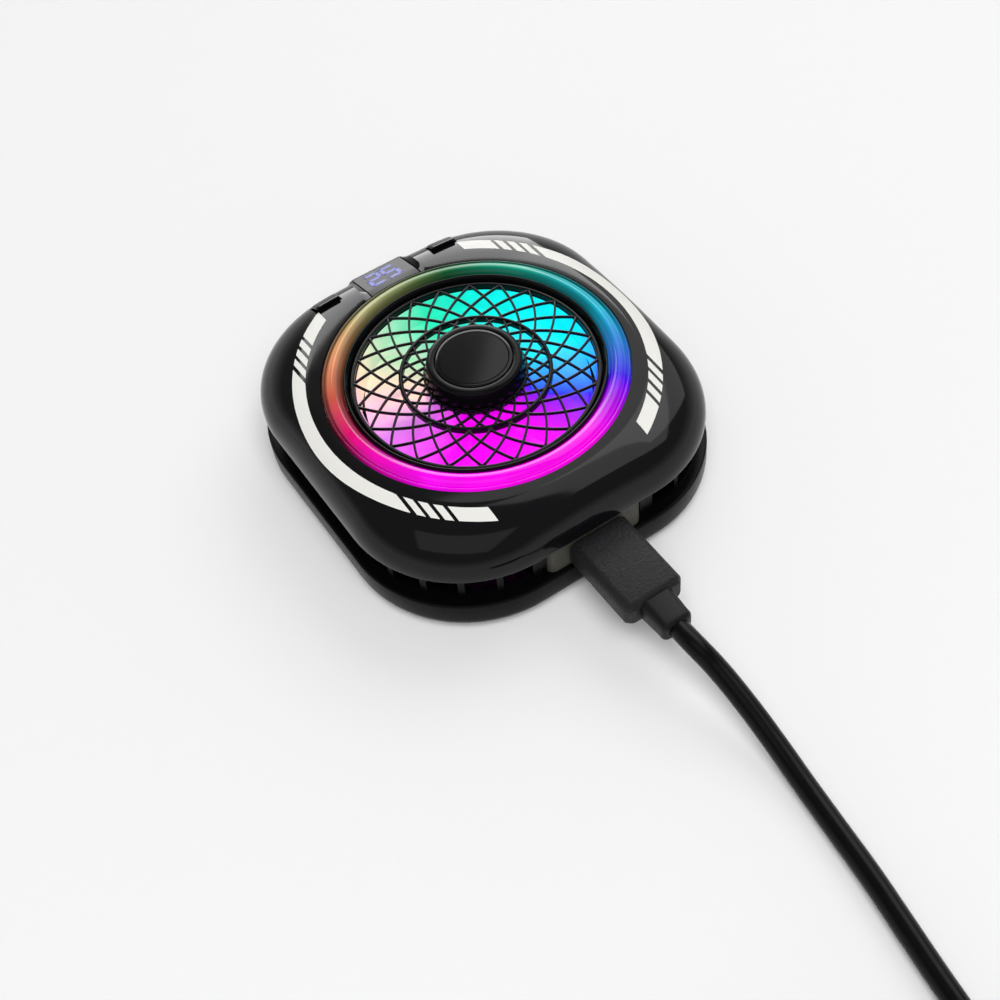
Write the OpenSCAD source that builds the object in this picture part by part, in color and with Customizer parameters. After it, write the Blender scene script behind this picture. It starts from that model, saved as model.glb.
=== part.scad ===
// Magnetic phone cooling fan with its supply lead.
// The origin is the middle of the contact face, +Z is the fan axis, -Y is the socket side.

/* [Body] */
// Width of the body, along X
body_w = 64; // [60:1:72]
// Length of the body, along Y
body_l = 68; // [64:1:76]
// Corner radius of the body in plan
corner_r = 21; // [18:1:24]
// Wall of the base shell and the front cover
wall = 2; // [1.6:0.1:2.4]
// How far the base stands out past the cover
base_step = 0.3; // [0:0.1:0.6]
// Height of the base rim above the contact face
base_h = 6.5; // [6:0.1:7.5]
// Radius of the rounded lower edge of the base
base_round = 2.4; // [1.5:0.1:2.6]
// Floor of the base
floor_t = 2.8; // [2.6:0.1:3]
// Height of the vent band between base and cover
band_h = 6; // [5.5:0.1:8]
// How far the vent band sits back from the cover
band_inset = 1.4; // [1:0.1:1.8]
// Wall of the vent band
band_wall = 1.2; // [0.8:0.1:1.4]
// Width of the bars between the vent windows
vent_bar = 1.1; // [0.8:0.1:1.6]
// Rise of the cover from its lip to the light ring
cover_rise = 7.2; // [6.8:0.1:8.5]
// Straight part of the cover above its lip
cover_lip = 0.5; // [0.3:0.1:1]

/* [Cold side] */
// Thickness of the soft contact pad
pad_t = 0.6; // [0.4:0.1:0.8]
// How far the contact pad reaches past the magnet ring
pad_lap = 1.3; // [0.6:0.1:1.6]
// Thickness of the cold plate
cold_t = 1.8; // [1.6:0.1:2]
// Inner radius of the magnet ring
magnet_ri = 23; // [22.8:0.1:24]
// Radial width of the magnet ring
magnet_w = 4.5; // [3.5:0.1:4.8]
// Gap from the cold plate to the magnet ring
cold_gap = 1.5; // [1.2:0.1:2]
// Thickness of the magnets
magnet_t = 1.9; // [1.5:0.1:2]
// Number of magnets
magnet_n = 16; // [12:2:20]
// Side of the square Peltier module
tec_w = 25; // [22:0.5:25.5]
// Thickness of each ceramic plate
ceramic_t = 0.7; // [0.5:0.1:0.8]
// Height of the pellets
pellet_h = 1.6; // [1.4:0.1:1.8]
// Pellets along one side of the module
pellet_n = 8; // [6:1:9]
// Side of a pellet
pellet_w = 1.4; // [1:0.1:1.6]
// Thickness of a thermal pad
tpad_t = 0.3; // [0.2:0.1:0.5]
// Thickness of the heatsink plate
sink_t = 1.5; // [1.2:0.1:1.8]
// Number of fins round the full circle
fin_n = 72; // [48:4:84]
// Thickness of a fin
fin_t = 0.7; // [0.5:0.1:0.9]

/* [Fan and light] */
// Inner radius of the fan duct
duct_r = 20; // [19.5:0.1:20.2]
// Wall of the fan duct
duct_wall = 1.8; // [1.6:0.1:2]
// Outer radius of the light ring
ring_r = 25.4; // [25:0.1:26]
// How far the light ring rises above the cover
ring_rise = 0.8; // [0.4:0.1:1.2]
// Wall of the light ring's two legs
ring_leg = 0.8; // [0.6:0.1:0.9]
// Number of LEDs under the ring
led_n = 12; // [8:1:18]
// Thickness of a circuit board
board_t = 0.8; // [0.6:0.1:1]
// Thickness of the grille
grille_t = 1.1; // [0.8:0.1:1.2]
// Width of a grille rib
rib_w = 0.6; // [0.5:0.05:0.8]
// Ribs in each of the two crossing families
rib_n = 24; // [20:1:26]
// Radius of the grille's middle ring
mid_r = 12.4; // [11.8:0.1:13]
// Width of the grille's middle ring
mid_w = 0.9; // [0.6:0.1:1.2]
// Radius of the hub cap at its foot
hub_r = 8.4; // [8:0.1:8.8]
// Radius of the hub cap at its top
hub_top_r = 7.4; // [7:0.1:7.8]
// Height of the hub cap above the grille
hub_h = 3; // [2.4:0.1:3.4]
// Radius of the disc in the hub cap
disc_r = 6.4; // [5.8:0.1:6.6]
// Number of impeller blades
blade_n = 9; // [7:1:11]
// Thickness of a blade
blade_t = 0.9; // [0.7:0.1:1.2]
// Length of a blade from its leading to its trailing edge
blade_chord = 10; // [8:0.1:10.5]
// Radius of the impeller hub
fan_hub_r = 9; // [8.8:0.1:9.4]
// Diameter of the fan shaft
shaft_d = 1.5; // [1.4:0.1:1.8]

/* [Controls] */
// Width of the display window
display_w = 9.6; // [8:0.1:11]
// Distance of the buttons from the middle
button_x = 12; // [11.5:0.1:12.5]
// Length of a button
button_l = 5.4; // [4.6:0.1:5.8]
// Width of a button
button_w = 2.2; // [1.8:0.1:2.4]
// How far a button stands out of the cover
button_rise = 1.1; // [0.8:0.1:1.4]
// Travel of a button
button_travel = 0.4; // [0.3:0.05:0.5]

/* [Lead] */
// Diameter of the cable
cord_d = 3.5; // [3:0.1:3.6]
// Width of the plug housing
plug_w = 11.6; // [10.5:0.1:12.5]
// Thickness of the plug housing
plug_h = 5.8; // [5:0.1:5.8]
// Length of the plug housing
plug_l = 14.4; // [12:0.1:18]
// Length of the plug's strain relief
relief_l = 5.6; // [4:0.1:8]
// Depth to which the plug enters the socket
plug_in = 6.6; // [6:0.1:6.8]

/* [Clearances] */
// Gap between fixed pieces that slip together
fit = 0.1; // [0.05:0.01:0.15]
// Gap round a piece that slides or lifts out
slip = 0.15; // [0.1:0.01:0.2]
// Radial gap between the shaft and its bush
run_fit = 0.03; // [0.02:0.01:0.06]

/* [Hidden] */
$fn = 64;

// Cuts run this far past the faces that they open
over = 1;

// Levels of the stack, from the contact face up
floor_top = pad_t + floor_t;
tec_z = cold_t + tpad_t;
pellet_z = tec_z + ceramic_t;
hot_z = pellet_z + pellet_h;
sink_z = hot_z + ceramic_t + tpad_t;
sink_top = sink_z + sink_t;
lip_z = base_h + band_h;
fin_gap = 0.3;
sink_gap = 0.4;
fin_back = 0.2;
fin_top = lip_z - fin_gap;
ring_z = lip_z + cover_rise;

// Corner centres of the plan outline
corner_x = body_w / 2 - corner_r;
corner_y = body_l / 2 - corner_r;

// Radii of the contact side, outwards from the cold plate
cold_r = magnet_ri - cold_gap;
magnet_ro = magnet_ri + magnet_w;
pad_r = magnet_ro + pad_lap;
probe_out = 3;
probe_hole_r = 1.4;

// Foam frame round the Peltier module, and the square opening that it fills
foam_w = 1.6;
foam_out = tec_w + 2 * fit + 2 * foam_w;
opening_w = foam_out + 2 * fit;

// Case screws and the bosses that they join
screw_in_x = 10.5;
screw_in_y = 11;
screw_r = 0.95;
screw_head_r = 1.8;
screw_head_t = 1.2;
screw_sink = 0.4;
screw_grip = 7;
screw_end = 0.4;
screw_web = 0.6;
boss_r = 2.4;
base_boss_r = 3;
// Near the corners, and always clear of the magnet ring
screw_way = [body_w / 2 - screw_in_x, body_l / 2 - screw_in_y];
screw_reach = max(norm(screw_way), magnet_ro + 2 * fit + screw_head_r + screw_web);
screw_x = screw_reach * screw_way[0] / norm(screw_way);
screw_y = screw_reach * screw_way[1] / norm(screw_way);
sites = [[1, 1], [-1, 1], [-1, -1], [1, -1]];

// Fan motor levels and radii
shaft_r = shaft_d / 2;
motor_plate_t = 0.8;
motor_gap = 0.2;
motor_plate_r = fan_hub_r - motor_gap;
motor_z = sink_top + motor_plate_t;
fan_drop = 3;
fan_top = ring_z - fan_drop;
hub_lift = 1.1;
fan_hub_z = motor_z + hub_lift;
hub_wall = 0.8;
hub_top_t = 1.2;
cup_t = 0.6;
cup_r = fan_hub_r - hub_wall - fit / 2;
cup_top = fan_top - hub_top_t;
cup_lift = 0.4;
cup_z = fan_hub_z + cup_lift;
rotor_magnet_t = 0.8;
rotor_magnet_lift = 0.3;
rotor_magnet_ro = cup_r - cup_t - fit / 2;
rotor_magnet_ri = rotor_magnet_ro - rotor_magnet_t;
air_gap = 0.3;
stator_r = rotor_magnet_ri - air_gap;
bush_t = 0.85;
tube_t = 0.6;
tube_gap = 0.6;
tube_ri = shaft_r + bush_t;
tube_ro = tube_ri + tube_t;
tube_top = cup_top - cup_t - tube_gap;
shaft_lift = 0.2;
shaft_cover = 0.4;
clip_lift = 0.5;
clip_z = motor_z + clip_lift;
clip_t = 0.3;
clip_groove = 0.25;
clip_play = 0.05;
bush_gap = 0.2;
bush_z = clip_z + clip_t + bush_gap;
stator_lift = 1.9;
stator_mid = (motor_z + stator_lift + tube_top) / 2;
core_h = 3.2;
core_t = 1.1;
coil_gap = 0.2;
coil_over = 0.6;
pole_n = 4;
pole_w = 2;
shoe_t = 0.8;
blade_tip = 1;
blade_lift = 0.6;
blade_drop = 0.3;
blade_root = 0.3;
blade_pitch = 32;

// Duct, LED board and light ring
duct_ro = duct_r + duct_wall;
duct_proud = 0.1;
flange_t = 1;
flange_lap = 1;
flange_r = ring_r + flange_lap;
led_z = fin_top + flange_t;
led_top = led_z + board_t;
led_w = 1.5;
led_h = 0.7;
led_edge = 0.2;
ring_gap = 0.2;
ring_ri = duct_ro + ring_gap;
led_r = (ring_ri + ring_r) / 2;
cover_hole_r = ring_r + ring_gap;
ring_top = ring_z + ring_rise;
ring_crown = 1.8;
ring_roof = 1;

// Grille
grille_drop = 1.5;
grille_z = ring_z - grille_drop;
grille_top = grille_z + grille_t;
grille_seat = 0.8;
grille_r = duct_r + grille_seat;
grille_rim = 0.6;
rib_reach = grille_r - grille_rim;
hub_plate_lap = 0.3;
hub_plate_r = hub_r + hub_plate_lap;
hub_flare = 0.2;
// Growth of the radius from one row of crossings to the next
row_ratio = 1.157;
stem_r = 2.5;
stem_l = 0.5;
disc_t = 0.8;
disc_proud = 0.1;
edge_round = 0.5;

// Display face, a flat facet from the ring's edge down to the rim
face_set = 1.5;
face_proud = 0.05;
face_edge = 0.8;
face_lift = 3.9;
face_in_y = ring_r + face_set;
face_in_z = ring_z + face_proud;
face_out_y = body_l / 2 - face_edge;
face_out_z = lip_z + cover_lip + face_lift;
face_tilt = atan2(face_in_z - face_out_z, face_out_y - face_in_y);
face_l = norm([face_out_y - face_in_y, face_in_z - face_out_z]);
window_t = 1.4;
window_edge = 0.3;
face_wall = 1;
face_drop = 0.12;
face_roll_y = 0.3;
face_roll_z = 0.8;
face_back = 0.1;

// Control board, on the band's top edge behind the display
control_z = lip_z;
control_gap = 0.8;
control_lap = 0.2;
control_end = 1.5;
control_y0 = flange_r + control_gap;
control_y1 = body_l / 2 - band_inset - band_wall + control_lap;
control_x = button_x + control_end;
control_top = control_z + board_t;
// Share of the control board that the display module covers, inwards to outwards
module_share = 0.68;
switch_l = 4.4;
switch_w = 3;
switch_h = 1.3;
switch_floor = 0.2;
plunger_r = 0.8;
plunger_h = 0.4;
button_in = 3.1;
button_y = body_l / 2 - button_in;
button_foot = control_top + switch_h + plunger_h;
button_top_r = 0.4;

// Socket side
socket_w = 8.94;
socket_h = 3.2;
socket_l = 7.4;
socket_t = 0.3;
socket_back = 0.4;
main_drop = 0.2;
main_z = sink_top - main_drop;
main_top = main_z + board_t;
port_z = main_top + socket_h / 2;
fin_root_gap = 0.6;
fin_root = duct_r + fin_root_gap;
bay_x = 12;
bay_y = -fin_root;
main_gap = 1;
main_in = 4;
main_end = 0.8;
main_x = bay_x - main_gap;
main_y0 = -(body_l / 2 - main_in);
main_y1 = bay_y - main_end;
socket_in = 2.6;
socket_y = -(body_l / 2 - socket_in);
post_r = 1.5;
post_in = 3;
port_x = 9;
port_in = 0.6;
port_y = -(body_l / 2 - port_in);
port_back = socket_y - fit;
tongue_w = 6.7;
tongue_t = 0.7;
tongue_l = 5;

// Plug of the lead
plug_gap = 0.3;
plug_face = -(body_l / 2 + base_step + plug_gap);
shell_w = socket_w - 2 * socket_t - 2 * slip;
shell_h = socket_h - 2 * socket_t - 2 * slip;
shell_t = 0.3;
shell_grip = 2;
plug_round = 1.6;
plug_back = plug_face - plug_l;
relief_w = 6;
relief_h = 5;
relief_round = 1.4;
relief_end = plug_back - relief_l;

// Wires inside the case
wire_d = 1;
fan_wire_d = 0.8;
wire_lift = 0.05;
// Spheres that join the stretches of a wire, by its diameter
wire_joint = 1.04;
harness_gap = 1.2;
harness_lift = 0.3;
harness_r = flange_r + harness_gap;
harness_z = fin_top + harness_lift + wire_d / 2;

// Free stretch of the lead: out of the plug, down to the surface and away
cord_r = cord_d / 2;
cord_lead = 4;
coil_lift = 0.9;
coil_x = -32;
coil_y = -145;
coil_mean_r = 19.88;
coil_pitch = 4.1;
turns_in = 3.5;
turns_out = 3.5;
layer_rise = 4.1;
coil_r0 = coil_mean_r + coil_pitch * turns_in / 2;
coil_z = coil_lift + cord_r;
cord_start = [0, relief_end, port_z];
coil_entry = [coil_x + coil_r0, coil_y + cord_d, coil_z];
cord_route = [
  cord_start, cord_start - [0, cord_lead, 0], [0.5, -62, 7], [1, -69, 4.6], [1.2, -76, 2.8], [1, -83, 2],
  [0.3, -91, 1.8], [-0.8, -99, 1.8], [-2, -107, 1.8], [-3.2, -115, 1.8], [-4.2, -123, 1.9],
  [-4.9, -131, 2.3], coil_entry + [0, 5, 0], coil_entry
];
// Rings of the coil, 24 to each loop: in on the first layer, out on the second
loop_rings = 24;
coil_steps = (turns_in + turns_out) * loop_rings;
function coil_radius(k) = k <= turns_in
  ? coil_r0 - coil_pitch * k
  : coil_r0 - coil_pitch * turns_in + coil_pitch * (k - turns_in);
function smooth(t) = t <= 0 ? 0 : t >= 1 ? 1 : t * t * (3 - 2 * t);
function coil_level(k) = coil_z + layer_rise * smooth((k - turns_in + 0.25) / 0.5);
function coil_point(k) = [
  coil_x + coil_radius(k) * cos(-360 * k), coil_y + coil_radius(k) * sin(-360 * k), coil_level(k)
];
coil_last = coil_point(turns_in + turns_out);
tail_start = coil_last - [0, cord_d, 0];
// The straight ends of the coil stop just short of its first and last rings
coil_end = 0.98 * cord_d;
coil_route = concat(
  [coil_entry, coil_entry - [0, coil_end, 0]],
  [for (i = [1 : coil_steps - 1]) coil_point(i / loop_rings)],
  [tail_start + [0, coil_end, 0], tail_start]
);
// The far plug lies flat beside the coil
far_plug_h = 7.6;
far_plug_w = 15.4;
far_plug_l = 20;
far_relief_l = 8;
far_relief_d = 6;
far_shell_w = 12;
far_shell_h = 4.5;
far_shell_l = 11.8;
far_shell_t = 0.35;
far_grip = 2.2;
far_round = 1.8;
far_tongue_t = 1.85;
far_tongue_back = 0.4;
far_z = far_plug_h / 2;
far_turn = 215;
// Tail: straight off the coil, then one bend down to the far plug, level where it joins either
far_dir = [cos(far_turn), sin(far_turn), 0];
tail_stub = 1.5;
tail_lead = 8.2;
tail_bend = 21.2;
tail_turn = 270 - far_turn;
tail_lead_n = 3;
tail_bend_n = 5;
tail_from = tail_start - [0, tail_stub, 0];
tail_share = tail_lead / (tail_lead + tail_bend * tail_turn * PI / 180);
function tail_level(f) = tail_from[2] + (far_z - tail_from[2]) * smooth(f);
function tail_lead_point(f) = [tail_from[0], tail_from[1] - tail_lead * f, tail_level(tail_share * f)];
function tail_bend_point(f) = [
  tail_from[0] - tail_bend * (1 - cos(tail_turn * f)),
  tail_from[1] - tail_lead - tail_bend * sin(tail_turn * f),
  tail_level(tail_share + (1 - tail_share) * f)
];
far_at = tail_bend_point(1) + tail_stub * far_dir;
tail_route = concat(
  [tail_start],
  [for (i = [0 : tail_lead_n - 1]) tail_lead_point(i / tail_lead_n)],
  [for (i = [0 : tail_bend_n]) tail_bend_point(i / tail_bend_n)],
  [far_at]
);

// Plan outline with true arcs, drawn in by an inset
module outline(inset = 0) {
  square([body_w - 2 * corner_r, body_l - 2 * inset], center = true);
  square([body_w - 2 * inset, body_l - 2 * corner_r], center = true);
  for (s = sites)
    translate([s[0] * corner_x, s[1] * corner_y])
      circle(r = corner_r - inset, $fn = 96);
}

module outline_prism(inset, z0, z1) {
  translate([0, 0, z0])
    linear_extrude(z1 - z0)
      outline(inset);
}

module ring(ro, ri, z0, z1) {
  translate([0, 0, z0])
    difference() {
      cylinder(r = ro, h = z1 - z0, $fn = 128);
      translate([0, 0, -over])
        cylinder(r = ri, h = z1 - z0 + 2 * over, $fn = 128);
    }
}

module block(x0, x1, y0, y1, z0, z1) {
  translate([x0, y0, z0])
    cube([x1 - x0, y1 - y0, z1 - z0]);
}

// Flat shape with half-round ends
module slot(w, h) {
  square([w - h, h], center = true);
  for (s = [-1, 1])
    translate([s * (w - h) / 2, 0])
      circle(d = h, $fn = 48);
}

// A slot-shaped bar that runs along Y between two stations
module slot_bar(w, h, y0, y1, z) {
  translate([0, y1, z])
    rotate([90, 0, 0])
      linear_extrude(y1 - y0)
        slot(w, h);
}

// Rectangle with rounded corners, with true arcs
module round_rect(w, h, r) {
  square([w - 2 * r, h], center = true);
  square([w, h - 2 * r], center = true);
  for (s = sites)
    translate([s[0] * (w / 2 - r), s[1] * (h / 2 - r)])
      circle(r = r, $fn = 32);
}

// Round wire through a list of points
module wire(points, d) {
  for (i = [0 : len(points) - 2]) {
    step = points[i + 1] - points[i];
    translate(points[i])
      rotate([0, acos(step[2] / norm(step)), atan2(step[1], step[0])])
        cylinder(d = d, h = norm(step), $fn = 24);
    if (i > 0)
      translate(points[i])
        sphere(d = wire_joint * d, $fn = 24);
  }
}

// Tube swept along a route that never runs straight up
function unit(v) = v / norm(v);
function heading(p, i) = unit(p[min(i + 1, len(p) - 1)] - p[max(i - 1, 0)]);
function tube_ring(p, i, r, sides) =
  let (t = heading(p, i), s = unit(cross(t, [0, 0, 1])), n = cross(s, t))
  [for (k = [0 : sides - 1]) let (a = 360 * (k + 0.5) / sides) p[i] + r * (cos(a) * s + sin(a) * n)];
module tube(p, d, sides) {
  rings = len(p);
  points = [for (i = [0 : rings - 1]) each tube_ring(p, i, d / 2, sides)];
  skin = [
    for (i = [0 : rings - 2]) for (k = [0 : sides - 1])
      let (a = i * sides + k, b = i * sides + (k + 1) % sides)
        each [[a, b, b + sides], [a, b + sides, a + sides]]
  ];
  first = [for (k = [1 : sides - 2]) [0, k + 1, k]];
  base = (rings - 1) * sides;
  last = [for (k = [1 : sides - 2]) [base, base + k, base + k + 1]];
  polyhedron(concat(points), concat(skin, first, last));
}

// Stations round the plan outline: a point on it and its outward normal
arc_n = 12;
side_n = 5;
function corner_station(q, a) =
  let (c = [sites[q][0] * corner_x, sites[q][1] * corner_y], n = [cos(90 * q + a), sin(90 * q + a)])
  [c + corner_r * n, n];
function side_station(q, f) =
  let (a = corner_station(q, 90), b = corner_station((q + 1) % 4, 0))
  [a[0] * (1 - f) + b[0] * f, a[1]];
stations = [
  for (q = [0 : 3]) each concat(
    [for (i = [0 : arc_n]) corner_station(q, 90 * i / arc_n)],
    [for (i = [1 : side_n - 1]) side_station(q, i / side_n)]
  )
];
function inset_point(s, inset) = s[0] - inset * s[1];
// A point between the ring opening and the outline, t = 0 at the ring and 1 at the outline
function span_point(s, inset, t) = (1 - t) * cover_hole_r * unit(s[0]) + t * inset_point(s, inset);

// Closed skin over rows of points that go round the outline, capped or joined end to start
module skin(rows, looped = false) {
  m = len(rows);
  n = len(rows[0]);
  bands = looped ? m : m - 1;
  sides = [
    for (i = [0 : bands - 1]) for (k = [0 : n - 1])
      let (a = i * n + k, b = i * n + (k + 1) % n, c = ((i + 1) % m) * n + (k + 1) % n,
           d = ((i + 1) % m) * n + k)
        each [[a, c, b], [a, d, c]]
  ];
  hub = m * n;
  caps = looped ? [] : [
    for (k = [0 : n - 1]) each [[hub, k, (k + 1) % n], [hub + 1, hub - n + (k + 1) % n, hub - n + k]]
  ];
  hubs = looped ? [] : [[0, 0, rows[0][0][2]], [0, 0, rows[m - 1][0][2]]];
  polyhedron(concat([for (r = rows) each r], hubs), concat(sides, caps));
}

// Crown of the cover: level at a share t of the way from the ring to the outline
dome_power = 1.5;
function dome(t, low, high) = low + (high - low) * sqrt(max(0, 1 - pow(t, dome_power)));
dome_n = 8;
function dome_share(i) = 1 - pow(1 - i / dome_n, 2);
function dome_row(i, inset, low, high) =
  [for (s = stations) let (t = dome_share(i), p = span_point(s, inset, t)) [p[0], p[1], dome(t, low, high)]];
function flat_row(inset, z) = [for (s = stations) let (p = inset_point(s, inset)) [p[0], p[1], z]];

// Distance from the axis to the outline in the direction of a point near a corner
function reach(x, y) =
  let (d = unit([abs(x), abs(y)]), c = [corner_x, corner_y], m = c * d)
  m + sqrt(m * m - c * c + corner_r * corner_r);
// Level of the cover's outer face above a point near a corner
function cover_level(x, y) =
  dome((norm([x, y]) - cover_hole_r) / (reach(x, y) - cover_hole_r), lip_z + cover_lip, ring_z);

module contact_pad() {
  color("#2b2c2e")
    ring(pad_r, cold_r + fit, 0, pad_t);
}

module cold_plate() {
  color("#c8ccd0")
    cylinder(r = cold_r, h = cold_t, $fn = 128);
}

module base_shell() {
  round_n = 5;
  arc_rows = [
    for (i = [0 : round_n])
      let (a = 90 * i / round_n)
        flat_row(base_round * (1 - sin(a)) - base_step, pad_t + base_round * (1 - cos(a)))
  ];
  color("#141416")
    difference() {
      union() {
        difference() {
          skin(concat(arc_rows, [flat_row(-base_step, base_h)]));
          outline_prism(wall, floor_top, base_h + over);
        }
        for (s = sites)
          translate([s[0] * screw_x, s[1] * screw_y, pad_t + floor_t / 2])
            cylinder(r = base_boss_r, h = base_h - pad_t - floor_t / 2);
        for (s = [-1, 1])
          translate([s * (main_x - post_in), (main_y0 + main_y1) / 2, pad_t + floor_t / 2])
            cylinder(r = post_r, h = main_z - pad_t - floor_t / 2);
      }
      cylinder(r = cold_r + fit, h = 2 * cold_t, center = true, $fn = 128);
      translate([0, 0, floor_top / 2 + cold_t / 2])
        cube([opening_w, opening_w, floor_top - cold_t + 2 * over], center = true);
      ring(magnet_ro + fit, magnet_ri - fit, pad_t - over, pad_t + magnet_t + fit);
      translate([opening_w / 2 + probe_out, 0, 0])
        cylinder(r = probe_hole_r, h = floor_top + over);
      for (s = sites)
        translate([s[0] * screw_x, s[1] * screw_y, 0]) {
          cylinder(r = screw_r + fit, h = base_h + over);
          cylinder(r = screw_head_r + fit, h = pad_t + screw_sink + screw_head_t);
        }
    }
}

module ring_magnets() {
  magnet_gap = 0.4;
  magnet_sweep = 360 / magnet_n - magnet_gap / magnet_ri * 180 / PI;
  color("#8f9398")
    for (i = [0 : magnet_n - 1])
      rotate(360 * i / magnet_n)
        translate([0, 0, pad_t])
          rotate_extrude(angle = magnet_sweep)
            translate([magnet_ri, 0])
              square([magnet_ro - magnet_ri, magnet_t]);
}

module tec_plate(z, t) {
  translate([-tec_w / 2, -tec_w / 2, z])
    cube([tec_w, tec_w, t]);
}

module cold_side_pad() {
  color("#9aa7b4")
    tec_plate(cold_t, tpad_t);
}

module peltier_cold_ceramic() {
  color("#f2f0ea")
    tec_plate(tec_z, ceramic_t);
}

module peltier_pellets() {
  pellet_edge = 0.6;
  pellet_step = (tec_w - 2 * pellet_edge - pellet_w) / (pellet_n - 1);
  first = -tec_w / 2 + pellet_edge;
  color("#6d7076")
    for (i = [0 : pellet_n - 1])
      for (j = [0 : pellet_n - 1])
        translate([first + i * pellet_step, first + j * pellet_step, pellet_z])
          cube([pellet_w, pellet_w, pellet_h]);
}

module peltier_hot_ceramic() {
  color("#f2f0ea")
    tec_plate(hot_z, ceramic_t);
}

module hot_side_pad() {
  color("#9aa7b4")
    tec_plate(hot_z + ceramic_t, tpad_t);
}

module foam_gasket() {
  inner = tec_w + 2 * fit;
  lead_gap = 8;
  color("#3a3b3d")
    translate([0, 0, cold_t])
      difference() {
        translate([-foam_out / 2, -foam_out / 2, 0])
          cube([foam_out, foam_out, sink_z - cold_t]);
        translate([-inner / 2, -inner / 2, -over])
          cube([inner, inner, sink_z]);
        translate([-lead_gap / 2, -foam_out, -over])
          cube([lead_gap, foam_out, sink_z]);
      }
}

// Room round a boss, open towards the corner
module boss_notch(a) {
  notch_r = base_boss_r + sink_gap;
  cylinder(r = notch_r, h = ring_z);
  rotate(a)
    block(0, body_w, -notch_r, notch_r, 0, ring_z);
}

module heatsink() {
  plate_inset = max(wall, band_inset + band_wall) + sink_gap;
  fin_inset = plate_inset + fin_back;
  color("#b9bdc2")
    difference() {
      union() {
        outline_prism(plate_inset, sink_z, sink_top);
        intersection() {
          for (i = [0 : fin_n - 1])
            rotate(360 * (i + 0.5) / fin_n)
              block(fin_root, body_w + body_l, -fin_t / 2, fin_t / 2, sink_top - sink_t / 2, fin_top);
          outline_prism(fin_inset, sink_z, lip_z);
        }
      }
      block(-bay_x, bay_x, -body_l, bay_y, 0, ring_z);
      for (s = sites)
        translate([s[0] * screw_x, s[1] * screw_y, 0])
          boss_notch(atan2(s[1] * screw_y, s[0] * screw_x));
    }
}

module thermistor() {
  bead_r = 1;
  color("#2d2a26")
    translate([opening_w / 2 + probe_out, 0, cold_t]) {
      cylinder(r = bead_r, h = bead_r);
      translate([0, 0, bead_r])
        sphere(r = bead_r);
    }
}

// One vent window, cut outwards through the band
module vent_cut(w) {
  sill = 0.8;
  translate([0, -w / 2, base_h + sill])
    cube([corner_r + body_l, w, band_h - 2 * sill]);
}

module vent_frame() {
  long_pitch = 2 * corner_y / 5;
  short_pitch = 2 * corner_x / 4;
  corner_pitch = 18;
  corner_w = (corner_r - band_inset) * corner_pitch * PI / 180 - vent_bar;
  color("#0c0c0d")
    difference() {
      outline_prism(band_inset, base_h, lip_z);
      outline_prism(band_inset + band_wall, base_h - over, lip_z + over);
      for (m = [0, 1])
        mirror([m, 0, 0])
          for (i = [-2 : 2])
            translate([corner_x, i * long_pitch, 0])
              vent_cut(long_pitch - vent_bar);
      for (q = [0 : 3])
        for (i = [-2 : 2])
          translate([sites[q][0] * corner_x, sites[q][1] * corner_y, 0])
            rotate(90 * q + 45 + i * corner_pitch)
              vent_cut(corner_w);
      for (i = [-1.5 : 1.5])
        translate([i * short_pitch, 0, 0])
          rotate(90)
            vent_cut(short_pitch - vent_bar);
      block(-port_x - fit, port_x + fit, -body_l, bay_y, base_h - over, lip_z + over);
    }
}

module motor_base() {
  color("#232427")
    difference() {
      union() {
        translate([0, 0, sink_top])
          cylinder(r = motor_plate_r, h = motor_plate_t);
        translate([0, 0, sink_top])
          cylinder(r = tube_ro, h = tube_top - sink_top);
      }
      translate([0, 0, motor_z])
        cylinder(r = tube_ri, h = fan_top);
    }
}

module fan_board() {
  board_in = 0.4;
  color("#1f5a3a")
    ring(motor_plate_r - board_in, tube_ro + fit, motor_z, motor_z + board_t);
}

module bearing_bush() {
  color("#b08d57")
    ring(tube_ri - fit / 2, shaft_r + run_fit, bush_z, tube_top - bush_gap);
}

module stator_core() {
  color("#7d8086")
    translate([0, 0, stator_mid - core_h / 2])
      difference() {
        union() {
          cylinder(r = tube_ro + core_t, h = core_h);
          for (i = [0 : pole_n - 1])
            rotate(360 * i / pole_n)
              translate([0, -pole_w / 2, 0])
                cube([stator_r - shoe_t / 2, pole_w, core_h]);
          intersection() {
            difference() {
              cylinder(r = stator_r, h = core_h);
              translate([0, 0, -over])
                cylinder(r = stator_r - shoe_t, h = core_h + 2 * over);
            }
            for (i = [0 : pole_n - 1])
              rotate(360 * i / pole_n)
                translate([0, -stator_r / 2, 0])
                  cube([stator_r + over, stator_r, core_h]);
          }
        }
        translate([0, 0, -over])
          cylinder(r = tube_ro + fit, h = core_h + 2 * over);
      }
}

module stator_coils() {
  coil_wall = 0.8;
  half = pole_w / 2 + fit;
  inner = tube_ro + core_t + coil_gap;
  outer = sqrt(pow(stator_r - shoe_t - coil_gap, 2) - pow(half + coil_wall, 2));
  color("#b5652b")
    for (i = [0 : pole_n - 1])
      rotate(360 * i / pole_n)
        difference() {
          block(inner, outer, -half - coil_wall, half + coil_wall,
                stator_mid - core_h / 2 - coil_over, stator_mid + core_h / 2 + coil_over);
          block(0, stator_r, -half, half,
                stator_mid - core_h / 2 - fit, stator_mid + core_h / 2 + fit);
        }
}

module fan_shaft() {
  color("#d3d6da")
    difference() {
      translate([0, 0, motor_z + shaft_lift])
        cylinder(r = shaft_r, h = fan_top - shaft_cover - motor_z - shaft_lift);
      ring(shaft_r + over, shaft_r - clip_groove, clip_z - clip_play, clip_z + clip_t + clip_play);
    }
}

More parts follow.
